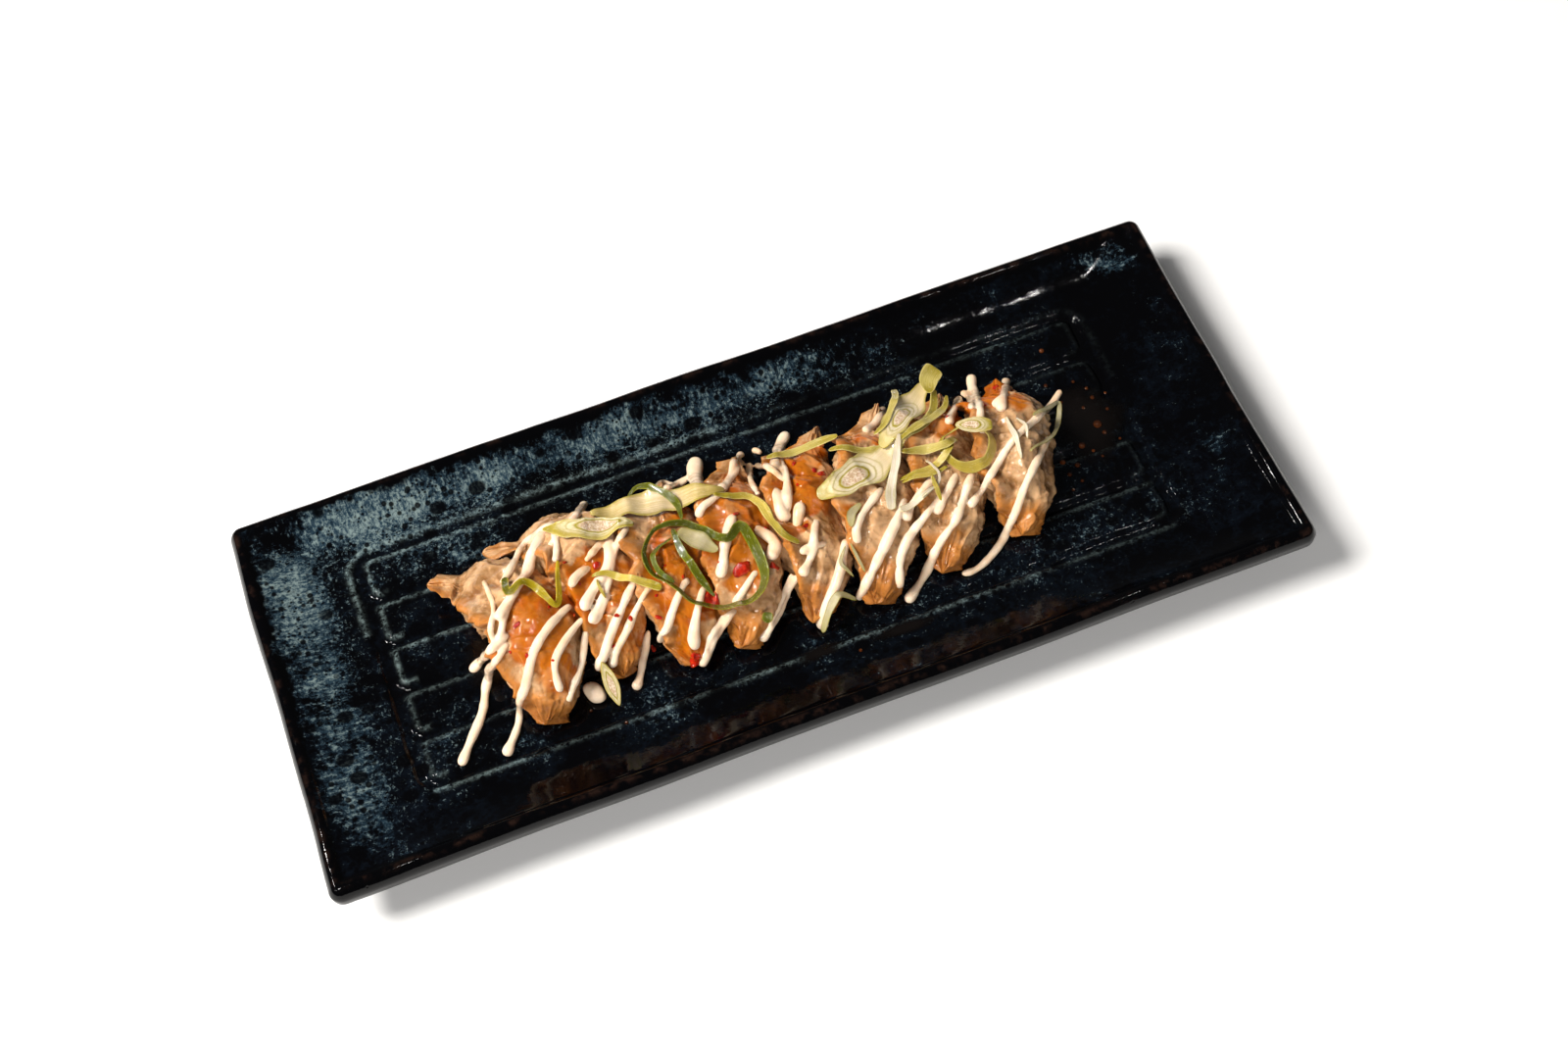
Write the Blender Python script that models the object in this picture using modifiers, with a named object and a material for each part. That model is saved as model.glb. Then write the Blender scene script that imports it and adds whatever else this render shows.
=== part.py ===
"""Eight pan-fried dumplings in a row on a long ribbed stoneware plate, with drizzle and spring onion.

Metres, +Z up. The origin is on the table, under the middle of the plate. The row runs along X.
Places of dumplings, drizzle and onion are in millimetres and are multiplied by MM.
"""

import math

import bmesh
import bpy
from mathutils import Matrix, Vector, noise
from mathutils.bvhtree import BVHTree

MM = 0.001

# Plate
PLATE_LENGTH = 324 * MM
PLATE_DEPTH = 136 * MM
PLATE_HEIGHT = 22 * MM
PLATE_WAVE = 0.7 * MM
PLATE_SKEW = 0.006
PLATE_CORNER = 4 * MM
PANEL_TOP = 15 * MM
PANEL_HALF_LENGTH = 131 * MM
PANEL_HALF_DEPTH = 48 * MM
FOOT_HALF_LENGTH = 126 * MM
FOOT_HALF_DEPTH = 42 * MM
GROOVE_PITCH = 17 * MM
GROOVE_COUNT = 6
GROOVE_MIDDLE = 1 * MM
GROOVE_WIDTH = 4 * MM
GROOVE_DEPTH = 1.2 * MM
GROOVE_HALF_LENGTH = 125 * MM
END_GROOVE_X = 127 * MM
SIDES_LONG, SIDES_SHORT, SIDES_CORNER = 14, 6, 3

# The plate's section in mm. Border: outward from the panel as a share of the border's width, height over
# the panel, share of the waviness and skew. Rim: inset from the outline, height over the crown, that share.
# Foot: outward from the foot's outer edge, height over the table.
BORDER_PROFILE = ((0, 0, 0), (0.18, 0.7, 0), (0.47, 3.2, 0.4))
RIM_PROFILE = ((5.6, -1.6, 0.8), (3, 0, 1), (0.8, -1.1, 1), (0, -3.2, 1), (0.3, -7.4, 1), (8, -10.4, 0.6))
FOOT_PROFILE = ((1.5, 7), (0, 0), (-5, 0), (-6.5, 8.5))
FOOT_CORNER = 8 * MM

# Dumplings
GAP = 0.35 * MM
REST = PANEL_TOP + GAP
AROUND, ALONG = 14, 22
BLUNT = 0.9 / ALONG
SQUASH = 0.92
SEAT = 0.86
CREST_SWELL = 0.2
CREST_SWELL_WIDTH = math.radians(40)
FIN_WIDTH = math.radians(10)
FIN_HEIGHT = 6 * MM
TAIL_THICKNESS = 1.4 * MM
TAIL_BACK = 0.7
TAIL_BACK_WIDTH = math.radians(20)
TIP_HEIGHT = 4.5 * MM
FULLEST, FULL_HALF = 0.45, 0.47
LUMPS = 0.05
PLEATS = 6
RUFFLE = math.radians(7)
SEAM_CROWDING = 0.62

# Drizzle and onion
DRIZZLE_RADIUS = 1.7 * MM
DRIZZLE_STEP = 4.4 * MM
DRIZZLE_SINK = 0.6
DRIZZLE_ENDS, DRIZZLE_BULBS = 0.75, 1.2
FOOD_EDGE = 4 * MM
CHILLI_RADIUS = 2.6 * MM
DROP_SIZE = (3, 3.8, 2.6)
DROP_LEAN = 0.25
DROP_BASE = 0.7
ONION_THICKNESS = 1.1 * MM
ONION_STEP = 3 * MM
ONION_SLOPE = 0.45
BROAD_ONION = 5
CLEARANCE = 0.45 * MM

# The toppings are placed as seen from EYE, on a level READ_LEVEL above the table.
EYE = Vector((-85 * MM, -333 * MM, 626 * MM))
READ_LEVEL = 27 * MM

# Relief: the height of the food on a square mesh of points, with its narrow gaps bridged.
RELIEF_STEP = 1.5 * MM
RELIEF_HALF_LENGTH = 130 * MM
RELIEF_HALF_DEPTH = 60 * MM
BRIDGED_STEPS = 2
SIGHT_STEP = 0.5 * MM
SIGHT_ABOVE = 30 * MM
SKY = 200 * MM

# Near tip, lower middle, upper middle and far tail; the girths of the two middles; lean in degrees;
# the half width and height over the plate of the far tail.
DUMPLINGS = {
    "gyoza_1": dict(
        spine=((-85, -37), (-78.5, -17), (-83, 4), (-105, 20)), girth=(11.8, 11.2), lean=48, tail=(5, 9)
    ),
    "gyoza_2": dict(
        spine=((-58, -31), (-54, -10), (-57, 11), (-85, 25)), girth=(9.4, 12), lean=40, tail=(5.4, 8)
    ),
    "gyoza_3": dict(
        spine=((-36, -35), (-32.5, -14), (-30.5, 7), (-25, 26)), girth=(10, 10.5), lean=40, tail=(4, 11)
    ),
    "gyoza_4": dict(
        spine=((-20.5, -35), (-10, -15), (-7.5, 6), (0, 25.5)), girth=(10, 10.4), lean=42, tail=(4, 11)
    ),
    "gyoza_5": dict(
        spine=((3.5, -35), (12.5, -15), (16, 5), (28.5, 26.5)), girth=(9.6, 10.6), lean=38, tail=(4.4, 11)
    ),
    "gyoza_6": dict(
        spine=((24, -36), (34.5, -15), (39.5, 5), (49.5, 26)), girth=(10, 10.6), lean=41, tail=(4.4, 11)
    ),
    "gyoza_7": dict(
        spine=((47.5, -34), (58.5, -14), (63.5, 5), (70.5, 24)), girth=(10.2, 10.6), lean=43, tail=(4, 10)
    ),
    "gyoza_8": dict(
        spine=((76, -31), (82.5, -13), (86, 5), (90, 22)), girth=(10.4, 10.8), lean=45, tail=(4, 9)
    ),
}

# Drizzle, each strand from its upper end: places as seen, then the thickness as a share of the usual one.
DRIZZLE = (
    (((-91, -9), (-97, -13), (-102, -16)), 1.1),
    (((-91, -13), (-98, -21), (-102, -30), (-109, -39), (-113.5, -45)), 1.05),
    (((-70, -7), (-76, -11), (-82, -17), (-87, -26), (-91, -32), (-93, -38), (-100, -47)), 1.0),
    (((-67, -13), (-72, -17), (-77, -23), (-78, -33)), 0.95),
    (((-66, -19), (-69, -26), (-73, -31), (-77, -37)), 0.85),
    (((-66, 24), (-73, 21.5), (-78, 16), (-84, 10)), 0.8),
    (((-68, 21), (-72.5, 16), (-75, 11), (-79, 8), (-84, 3), (-89, -2)), 1.15),
    (((-63, 22), (-63.5, 17), (-66, 11)), 0.8),
    (((-50.5, 28), (-54, 25), (-58, 22), (-62, 20)), 1.0),
    (((-48, 11), (-51, 3), (-58, -3), (-63, -8)), 1.1),
    (((-43.5, 12), (-48, 7), (-53, -3), (-58, -9), (-62.5, -14)), 1.0),
    (((-47, -7), (-52, -13), (-57.5, -19.5), (-62.5, -27), (-65, -30)), 1.0),
    (((-43.5, -10.5), (-48, -15), (-53, -21), (-58, -26), (-61, -31)), 0.9),
    (((-48, -26), (-51, -32), (-55, -39), (-57, -40.5)), 1.05),
    (((-32, -13), (-37, -19), (-41, -25), (-44, -28)), 1.05),
    (((-27.5, -18), (-31, -24), (-34, -30), (-35, -35)), 1.15),
    (((-22, -28), (-28, -33), (-32, -37), (-35.5, -40.5)), 1.05),
    (((-11, -18), (-15.5, -22), (-19, -25)), 1.0),
    (((0, -25), (-4, -29), (-8, -34), (-12, -37), (-15.5, -39.5)), 1.0),
    (((-11.5, 30), (-14, 27), (-15, 21)), 1.5),
    (((-12, 24), (-18, 24), (-24.5, 23)), 0.9),
    (((-3, 20), (-9, 15), (-16, 12.5), (-19, 9)), 0.85),
    (((-10, 3), (-14.5, -4), (-17, -10), (-20, -14)), 1.15),
    (((19, 28), (15.5, 25), (12.5, 21)), 1.4),
    (((3.5, 22), (1.5, 17), (2, 10)), 0.8),
    (((13, 19), (12.5, 12), (10, 5), (7, 0)), 1.0),
    (((14, -9), (10, -17), (4, -23)), 1.0),
    (((20, -19), (16, -26), (12, -31), (7, -37), (3, -43)), 1.15),
    (((36, -5), (30.5, -9), (26, -14), (25, -19)), 1.0),
    (((42, -12), (38, -17), (32, -23), (26, -29), (21, -34), (18, -37)), 1.05),
    (((53.5, -14), (46, -19), (40, -23), (35, -29), (32, -36), (30.5, -39)), 1.05),
    (((66, -11), (61, -17), (56, -23), (49, -28), (44, -33), (39, -38), (31, -44)), 1.05),
    (((61, -9), (56, -14), (51, -18)), 1.0),
    (((107, 9.5), (101, 5), (94, 2), (87, -1), (81, -5), (75, -10), (69, -15), (62, -20)), 0.85),
    (
        ((93, -8), (87, -14), (81, -20), (76, -26), (71, -31), (67, -35), (61, -39), (55, -41.5), (50.5, -41)),
        0.9,
    ),
    (((82.5, 26), (80.5, 21), (80.5, 15), (78, 8)), 1.0),
    (((92, 20), (90, 15), (84, 12)), 0.9),
    (((51, 25), (47, 21), (42, 19)), 0.9),
)
CHILLI_GLOBS = ((-12, -13), (-24.5, -20))
DRIZZLE_DROP = (-68.5, -37.5)

# Spring onion: the middle line as seen, the widths at its start, middle and end, and the tilts of its two
# ends. A closed middle line makes a ring. A tilt of 90 degrees stands the strip on its edge. A piece that
# reaches out over the food's far side is read on its own level.
ONIONS = {
    "onion_slice_left": dict(
        line=((-66, 23.5), (-59, 19), (-50, 16.5), (-40, 13.5)), widths=(1, 8, 1.5), tilts=(8, 0), level=35,
    ),
    "onion_slice_pale": dict(
        line=((-50.5, 23), (-40, 20.5), (-25, 18), (-8, 15)), widths=(2, 9.5, 1.5), tilts=(0, 0), level=34,
    ),
    "onion_curl_left": dict(
        line=((-82.5, 11), (-83, 5.5), (-78, 7), (-74.5, 4), (-71, -4), (-69, -3), (-66.5, 5), (-65, 11)),
        widths=(3, 2.2, 1.6), tilts=(10, 55),
    ),
    "onion_strip_left": dict(
        line=((-57, 1.5), (-51.5, -0.5), (-47, -5), (-37.5, -10.5)), widths=(1, 2.4, 3.2), tilts=(20, 0)
    ),
    "onion_loop": dict(
        line=((-28, 10), (-18, 1), (-8, -2), (-5.7, -10), (-9, -23), (-18, -27), (-28, -22), (-34, -11),
              (-39.5, -1), (-37, 7)),
        widths=(3, 4, 3), tilts=(35, 35), closed=True,
    ),
    "onion_loop_inner": dict(
        line=((-29, 7), (-27.5, -2), (-26, -11), (-24, -19)), widths=(2.6, 2.6, 1), tilts=(30, 10)
    ),
    "onion_loop_upper": dict(
        line=((-39, 20.5), (-33, 21), (-27.5, 19.5), (-24.5, 15), (-23.5, 11)), widths=(1, 2.6, 1.6),
        tilts=(0, 35),
    ),
    "onion_strip_middle": dict(
        line=((-5, 12), (0, 10), (3, 4), (4.5, -5), (8.5, -12.5)), widths=(3, 3.2, 2.4), tilts=(20, 0)
    ),
    "onion_strip_far": dict(
        line=((9, 22), (18, 21.5), (27, 22), (33, 19.5)), widths=(2, 3, 2), tilts=(0, 0), level=34
    ),
    "onion_strip_long": dict(
        line=((33, 19), (39, 15), (46, 12.5), (54, 12.5), (61, 14.5), (67, 18), (72, 24)),
        widths=(2, 4, 3), tilts=(0, 25), level=37,
    ),
    "onion_slice_big": dict(
        line=((20, 2), (28, 4), (38, 6.5), (48, 10)), widths=(4, 11.5, 3), tilts=(10, 0)
    ),
    "onion_slice_far": dict(
        line=((47, 16), (54, 20.5), (60, 26), (66.5, 31)), widths=(5, 10.5, 4), tilts=(0, 10), level=38,
    ),
    "onion_blade_far": dict(
        line=((50.5, 22), (53.5, 27), (57, 32)), widths=(3, 3, 1), tilts=(0, 30), level=36
    ),
    "onion_flake": dict(
        line=((66, 25), (69, 30), (72, 35)), widths=(3, 6.5, 5.5), tilts=(0, 20), level=40
    ),
    "onion_ring": dict(
        line=((62.5, -1), (65, 5.5), (71, 7), (76.5, 2), (77, -4), (72, -8.5), (66, -7)),
        widths=(3.4, 3.4, 3.4), tilts=(48, 48), closed=True,
    ),
    "onion_slice_right": dict(line=((69, 8), (74, 6.5), (80, 4)), widths=(3, 6, 4), tilts=(0, 0)),
    "onion_strip_under": dict(
        line=((46, -1), (51, -2.5), (57, -1), (61.5, 3)), widths=(2.5, 4.5, 2), tilts=(0, 0)
    ),
    "onion_shred_stem": dict(
        line=((50, 9), (46, 2), (41.5, -5), (39, -12)), widths=(1.6, 3.4, 3), tilts=(0, 0)
    ),
    "onion_shred_branch": dict(
        line=((41, -13.5), (49, -12.5), (57, -8.5)), widths=(3, 1.6, 1), tilts=(0, 0)
    ),
    "onion_shred_short": dict(line=((31, -6), (27, -8), (25, -13)), widths=(2, 3, 1.4), tilts=(0, 0)),
    "onion_thread_right": dict(
        line=((94, 3), (99, 2.5), (100.5, -2), (97, -6.5), (88, -8.5)), widths=(1.4, 1.6, 1), tilts=(30, 10)
    ),
    "onion_shred_right": dict(line=((86.5, 7), (86, -1), (84.6, -10)), widths=(1, 2, 1), tilts=(20, 20)),
    "onion_leaf": dict(line=((-63.5, -31), (-63.2, -38.5), (-62.8, -46)), widths=(1, 4.6, 1), tilts=(0, 0)),
    "onion_bit": dict(line=((-10, -31.5), (-11, -34), (-12, -36.5)), widths=(3.4, 3.6, 2.4), tilts=(0, 0)),
    "onion_curl_near": dict(
        line=((16, -41), (11, -39), (6, -42.5), (2.5, -46.5)), widths=(1.4, 3, 1.6), tilts=(10, 0)
    ),
}


def clear_scene():
    """Removes every object that the file opened with."""
    for obj in list(bpy.data.objects):
        bpy.data.objects.remove(obj, do_unlink=True)


def new_collection(name):
    """Returns a new collection in the scene."""
    made = bpy.data.collections.new(name)
    bpy.context.scene.collection.children.link(made)
    return made


def new_material(name, colour, roughness, coat=0.0):
    """Returns a Principled BSDF material."""
    material = bpy.data.materials.new(name)
    material.use_nodes = True
    shader = material.node_tree.nodes["Principled BSDF"]
    shader.inputs["Base Color"].default_value = (*colour, 1)
    shader.inputs["Roughness"].default_value = roughness
    shader.inputs["Metallic"].default_value = 0
    shader.inputs["Coat Weight"].default_value = coat
    material.diffuse_color = (*colour, 1)
    return material


def object_from(bm, name, collection, material):
    """Turns a bmesh into a smooth-shaded object with outward faces."""
    bmesh.ops.recalc_face_normals(bm, faces=bm.faces)
    mesh = bpy.data.meshes.new(name)
    bm.to_mesh(mesh)
    bm.free()
    mesh.shade_smooth()
    obj = bpy.data.objects.new(name, mesh)
    obj.data.materials.append(material)
    collection.objects.link(obj)
    return obj


def ease(value):
    """Rises smoothly from 0 to 1 as the value does."""
    value = min(max(value, 0), 1)
    return value * value * (3 - 2 * value)


def mix(low, high, share):
    return low + (high - low) * share


# ---------------------------------------------------------------- plate


def rounded_rectangle(half_length, half_depth, radius):
    """Points of a rectangle with round corners, anticlockwise from the middle of its right side up."""
    points = []
    inner_x, inner_y = half_length - radius, half_depth - radius
    for turn in range(4):
        across, up = (inner_y, inner_x) if turn % 2 == 0 else (inner_x, inner_y)
        reach = half_length if turn % 2 == 0 else half_depth
        steps = SIDES_SHORT if turn % 2 == 0 else SIDES_LONG
        side = [(reach, mix(-across, across, i / steps)) for i in range(steps + 1)]
        for i in range(1, SIDES_CORNER):
            angle = math.pi / 2 * i / SIDES_CORNER
            side.append((up + radius * math.cos(angle), across + radius * math.sin(angle)))
        cosine, sine = round(math.cos(turn * math.pi / 2)), round(math.sin(turn * math.pi / 2))
        points += [(x * cosine - y * sine, x * sine + y * cosine) for x, y in side]
    return points


def plate_ring(half_length, half_depth, radius, height, wave):
    """One ring of the plate, with its share of the hand-made outline's waviness and skew."""
    ring = []
    for x, y in rounded_rectangle(half_length, half_depth, radius):
        swing = noise.noise(Vector((x * 22, y * 30, 3.7)))
        lift = noise.noise(Vector((x * 18, y * 25, 9.1)))
        outward = Vector((x, y, 0)).normalized()
        skewed = Vector((x, y + x * PLATE_SKEW * wave, height))
        place = skewed + outward * (swing * PLATE_WAVE * wave)
        ring.append(place + Vector((0, 0, lift * PLATE_WAVE * wave)))
    return ring


def plate_rings():
    """The rings from the panel over the border and rim, and down to the foot and the hollow inside it."""
    rings = []
    for share, height, wave in BORDER_PROFILE:
        half_length = mix(PANEL_HALF_LENGTH, PLATE_LENGTH / 2, share)
        half_depth = mix(PANEL_HALF_DEPTH, PLATE_DEPTH / 2, share)
        rings.append(plate_ring(half_length, half_depth, PLATE_CORNER, PANEL_TOP + height * MM, wave))
    for inset, height, wave in RIM_PROFILE:
        half_length, half_depth = PLATE_LENGTH / 2 - inset * MM, PLATE_DEPTH / 2 - inset * MM
        rings.append(plate_ring(half_length, half_depth, PLATE_CORNER, PLATE_HEIGHT + height * MM, wave))
    for outward, height in FOOT_PROFILE:
        half_length, half_depth = FOOT_HALF_LENGTH + outward * MM, FOOT_HALF_DEPTH + outward * MM
        rings.append(plate_ring(half_length, half_depth, FOOT_CORNER, height * MM, 0))
    return rings


def groove_cutters(collection):
    """Rounded bars that cut the long grooves and the groove across each end."""
    sink = (GROOVE_WIDTH / 2) ** 2 / (2 * GROOVE_DEPTH) - GROOVE_DEPTH / 2
    radius = sink + GROOVE_DEPTH
    first = GROOVE_MIDDLE - GROOVE_PITCH * (GROOVE_COUNT - 1) / 2
    last = first + GROOVE_PITCH * (GROOVE_COUNT - 1)
    bm = bmesh.new()
    bars = [((0, first + GROOVE_PITCH * i), GROOVE_HALF_LENGTH, 0) for i in range(GROOVE_COUNT)]
    middle, half_span = (first + last) / 2, (last - first) / 2
    bars += [((side * END_GROOVE_X, middle), half_span, math.pi / 2) for side in (-1, 1)]
    for (x, y), half_length, turn in bars:
        made = bmesh.ops.create_cone(
            bm, cap_ends=True, segments=16, radius1=radius, radius2=radius, depth=2 * half_length
        )["verts"]
        for vertex in made:
            side, up, along = vertex.co
            vertex.co = Vector((along, side, up + sink + PANEL_TOP))
        bmesh.ops.rotate(bm, verts=made, cent=(0, 0, 0), matrix=Matrix.Rotation(turn, 3, "Z"))
        bmesh.ops.translate(bm, verts=made, vec=(x, y, 0))
    obj = object_from(bm, "groove_cutters", collection, bpy.data.materials["dark_glaze"])
    obj.hide_render = True
    obj.display_type = "WIRE"
    return obj


def build_plate(parts, cutters):
    """The plate: rings extruded from the panel over the rim to the foot, then grooves cut in the panel."""
    rings = plate_rings()
    bm = bmesh.new()
    made = bmesh.ops.create_circle(bm, segments=len(rings[0]), radius=1)["verts"]
    for vertex, place in zip(made, rings[0]):
        vertex.co = place
    first = list(bm.edges)
    bmesh.ops.contextual_create(bm, geom=first)
    edges = first
    for ring in rings[1:]:
        grown = bmesh.ops.extrude_edge_only(bm, edges=edges)["geom"]
        verts = [item for item in grown if isinstance(item, bmesh.types.BMVert)]
        edges = [item for item in grown if isinstance(item, bmesh.types.BMEdge)]
        edges = [edge for edge in edges if edge.verts[0] in verts and edge.verts[1] in verts]
        for vertex, place in zip(verts, ring):
            vertex.co = place
    bmesh.ops.contextual_create(bm, geom=edges)
    plate = object_from(bm, "plate", parts, bpy.data.materials["dark_glaze"])
    plate.data.set_sharp_from_angle(angle=math.radians(50))
    cut = plate.modifiers.new("grooves", "BOOLEAN")
    cut.object = groove_cutters(cutters)
    return plate


# ---------------------------------------------------------------- dumplings


def spine_point(spine, along):
    """A point on the cubic through the four given points, which stand a third apart."""
    stops = (0, 1 / 3, 2 / 3, 1)
    x = y = 0
    for i, (place_x, place_y) in enumerate(spine):
        weight = 1
        for j, stop in enumerate(stops):
            if j != i:
                weight *= (along - stop) / (stops[i] - stop)
        x += weight * place_x
        y += weight * place_y
    return Vector((x, y, 0)) * MM


def body_share(along):
    """How full the dumpling is along its length: 1 in the middle, 0 in the flat tail."""
    off = (along - FULLEST) / FULL_HALF
    if off < 0:
        return max(0, 1 - abs(off) ** 1.9) ** 0.8
    return max(0, 1 - off ** 2.6) ** 0.6


def dumpling_point(shape, order, along, angle):
    """A point on a dumpling. The angle runs around the section from the seam."""
    spine = shape["spine"]
    here = spine_point(spine, along)
    ahead = spine_point(spine, along + 0.01) - spine_point(spine, along - 0.01)
    side = Vector((ahead.y, -ahead.x, 0)).normalized()
    full = body_share(along)
    girth = mix(*shape["girth"], ease(3 * along - 1)) * MM
    radius = TAIL_THICKNESS + (girth - TAIL_THICKNESS) * full
    tail_width, tail_height = (value * MM for value in shape["tail"])
    turn = angle - SEAM_CROWDING * math.sin(angle)
    ruffle = math.sin(2 * math.pi * PLEATS * along + order)
    seam = math.pi / 2 + math.radians(shape["lean"]) + RUFFLE * ruffle * (0.4 + 0.6 * full)
    swell = CREST_SWELL * math.exp(-((turn / CREST_SWELL_WIDTH) ** 2)) * full
    fin = mix(tail_width, FIN_HEIGHT * (0.9 + 0.14 * ruffle), ease(2 * full))
    reach = radius * (1 + swell) + fin * math.exp(-((turn / FIN_WIDTH) ** 2))
    back = abs(turn) - math.pi
    reach += (1 - ease(2 * full)) * tail_width * TAIL_BACK * math.exp(-((back / TAIL_BACK_WIDTH) ** 2))
    reach *= 1 + LUMPS * noise.noise(Vector((along * 7, angle, order * 5)))
    tip_height = mix(TIP_HEIGHT, tail_height, ease(along))
    centre = mix(tip_height, SEAT * SQUASH * radius, ease(2.2 * full))
    direction = seam + turn
    height = max(0, centre + SQUASH * reach * math.sin(direction))
    return here + side * (reach * math.cos(direction)) + Vector((0, 0, REST + height))


def build_dumpling(name, shape, order, parts):
    """One dumpling: a sphere whose poles are drawn out to the near tip and the far tail."""
    bm = bmesh.new()
    bmesh.ops.create_uvsphere(bm, u_segments=AROUND, v_segments=ALONG, radius=1)
    for vertex in bm.verts:
        along = math.acos(max(-1, min(1, -vertex.co.z))) / math.pi
        along = min(max((along - BLUNT) / (1 - 2 * BLUNT), 0), 1)
        angle = math.atan2(vertex.co.y, vertex.co.x)
        vertex.co = dumpling_point(shape, order, along, angle)
    return object_from(bm, name, parts, bpy.data.materials["wrapper"])


# ---------------------------------------------------------------- places of the toppings


def tree_of(obj):
    """A search tree of the object's evaluated mesh."""
    return BVHTree.FromObject(obj, bpy.context.evaluated_depsgraph_get())


def top_of(trees, x, y):
    """The highest point of the trees' surfaces at a place, or the panel's level."""
    best = PANEL_TOP
    start = Vector((x, y, SKY))
    for tree in trees:
        hit = tree.ray_cast(start, Vector((0, 0, -1)))[0]
        if hit is not None:
            best = max(best, hit.z)
    return best


class Relief:
    """The height of the food on a square mesh of points, with the narrow gaps bridged."""

    def __init__(self, trees):
        self.columns = int(2 * RELIEF_HALF_LENGTH / RELIEF_STEP) + 1
        self.rows = int(2 * RELIEF_HALF_DEPTH / RELIEF_STEP) + 1
        heights = [
            [
                top_of(trees, i * RELIEF_STEP - RELIEF_HALF_LENGTH, j * RELIEF_STEP - RELIEF_HALF_DEPTH)
                for j in range(self.rows)
            ]
            for i in range(self.columns)
        ]
        self.heights = self.spread(self.spread(heights, max), min)

    def spread(self, heights, pick):
        """Gives each point the highest or lowest of those around it."""
        reach = range(-BRIDGED_STEPS, BRIDGED_STEPS + 1)
        return [
            [
                pick(
                    heights[min(max(i + di, 0), self.columns - 1)][min(max(j + dj, 0), self.rows - 1)]
                    for di in reach
                    for dj in reach
                    if abs(di) + abs(dj) <= BRIDGED_STEPS
                )
                for j in range(self.rows)
            ]
            for i in range(self.columns)
        ]

    def height(self, x, y):
        """The bridged height at a place, between the points around it."""
        u = min(max((x + RELIEF_HALF_LENGTH) / RELIEF_STEP, 0), self.columns - 1.001)
        v = min(max((y + RELIEF_HALF_DEPTH) / RELIEF_STEP, 0), self.rows - 1.001)
        i, j = int(u), int(v)
        left = mix(self.heights[i][j], self.heights[i][j + 1], v - j)
        right = mix(self.heights[i + 1][j], self.heights[i + 1][j + 1], v - j)
        return mix(left, right, u - i)

    def seen(self, place, level=None):
        """Where the sight line through a place on the reading level meets the relief, or a given level."""
        aim = Vector((place[0] * MM, place[1] * MM, READ_LEVEL))
        if level is not None:
            return aim + (aim - EYE) * ((READ_LEVEL - level * MM) / (EYE.z - READ_LEVEL))
        down = (aim - EYE) / (EYE.z - READ_LEVEL)
        step = down * SIGHT_STEP
        point = aim - down * SIGHT_ABOVE
        while point.z > PANEL_TOP and point.z > self.height(point.x, point.y):
            point = point + step
        return point


def smooth_line(points, closed):
    """Points of a smooth curve through the given ones, four to each stretch."""
    count = len(points)
    stretches = count if closed else count - 1
    line = []
    for i in range(stretches):
        if closed:
            a, b, c, d = (points[(i + k) % count] for k in (-1, 0, 1, 2))
        else:
            a, b, c, d = (points[min(max(i + k, 0), count - 1)] for k in (-1, 0, 1, 2))
        for step in range(4):
            t = step / 4
            bend = 2 * a - 5 * b + 4 * c - d
            twist = 3 * b - a - 3 * c + d
            line.append(b + 0.5 * ((c - a) * t + bend * t ** 2 + twist * t ** 3))
    line.append(points[0].copy() if closed else points[-1].copy())
    return line


def even_line(line, step):
    """The same line with points an even step apart."""
    lengths = [0]
    for a, b in zip(line, line[1:]):
        lengths.append(lengths[-1] + (b - a).length)
    count = max(3, round(lengths[-1] / step))
    found = []
    for i in range(count + 1):
        want = lengths[-1] * i / count
        k = max(j for j in range(len(lengths) - 1) if lengths[j] <= want)
        share = (want - lengths[k]) / max(lengths[k + 1] - lengths[k], 1e-9)
        found.append(line[k].lerp(line[k + 1], min(share, 1)))
    return found


def flat(point):
    return Vector((point.x, point.y, 0))


# ---------------------------------------------------------------- drizzle


def drizzle_line(relief, places, radius):
    """A strand's middle line: half sunk in the food, and clear of the plate beyond it."""
    line = even_line(smooth_line([flat(relief.seen(place)) for place in places], False), DRIZZLE_STEP)
    for point in line:
        height = relief.height(point.x, point.y)
        over_food = ease((height - PANEL_TOP) / FOOD_EDGE)
        point.z = height + mix(radius + CLEARANCE, (1 - DRIZZLE_SINK) * radius, over_food)
    smoothed = [point.copy() for point in line]
    for i in range(1, len(line) - 1):
        level = (line[i - 1].z + 2 * line[i].z + line[i + 1].z) / 4
        smoothed[i].z = max(level, PANEL_TOP + radius + CLEARANCE)
    return smoothed


def nearest(trees, point):
    """The distance from a point to each dumpling's surface, by name."""
    return {name: tree.find_nearest(point)[3] for name, tree in trees.items()}


def drizzle_runs(relief, trees):
    """Cuts each strand into the stretches that lie on one dumpling, clear of the others."""
    runs = []
    for places, share in DRIZZLE:
        radius = DRIZZLE_RADIUS * share
        run, owner = [], None
        for point in drizzle_line(relief, places, radius):
            distances = nearest(trees, point)
            owner = owner or min(distances, key=distances.get)
            others = min(value for name, value in distances.items() if name != owner)
            crowded = others < radius + CLEARANCE or any(
                taken != owner and (point - spot).length < radius + wide + CLEARANCE
                for taken, wide, line in runs
                for spot in line
            )
            if not crowded:
                run.append(point)
                continue
            if len(run) > 1:
                runs.append((owner, radius, run))
            run, owner = [], None
        if len(run) > 1:
            runs.append((owner, radius, run))
    return runs


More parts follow.
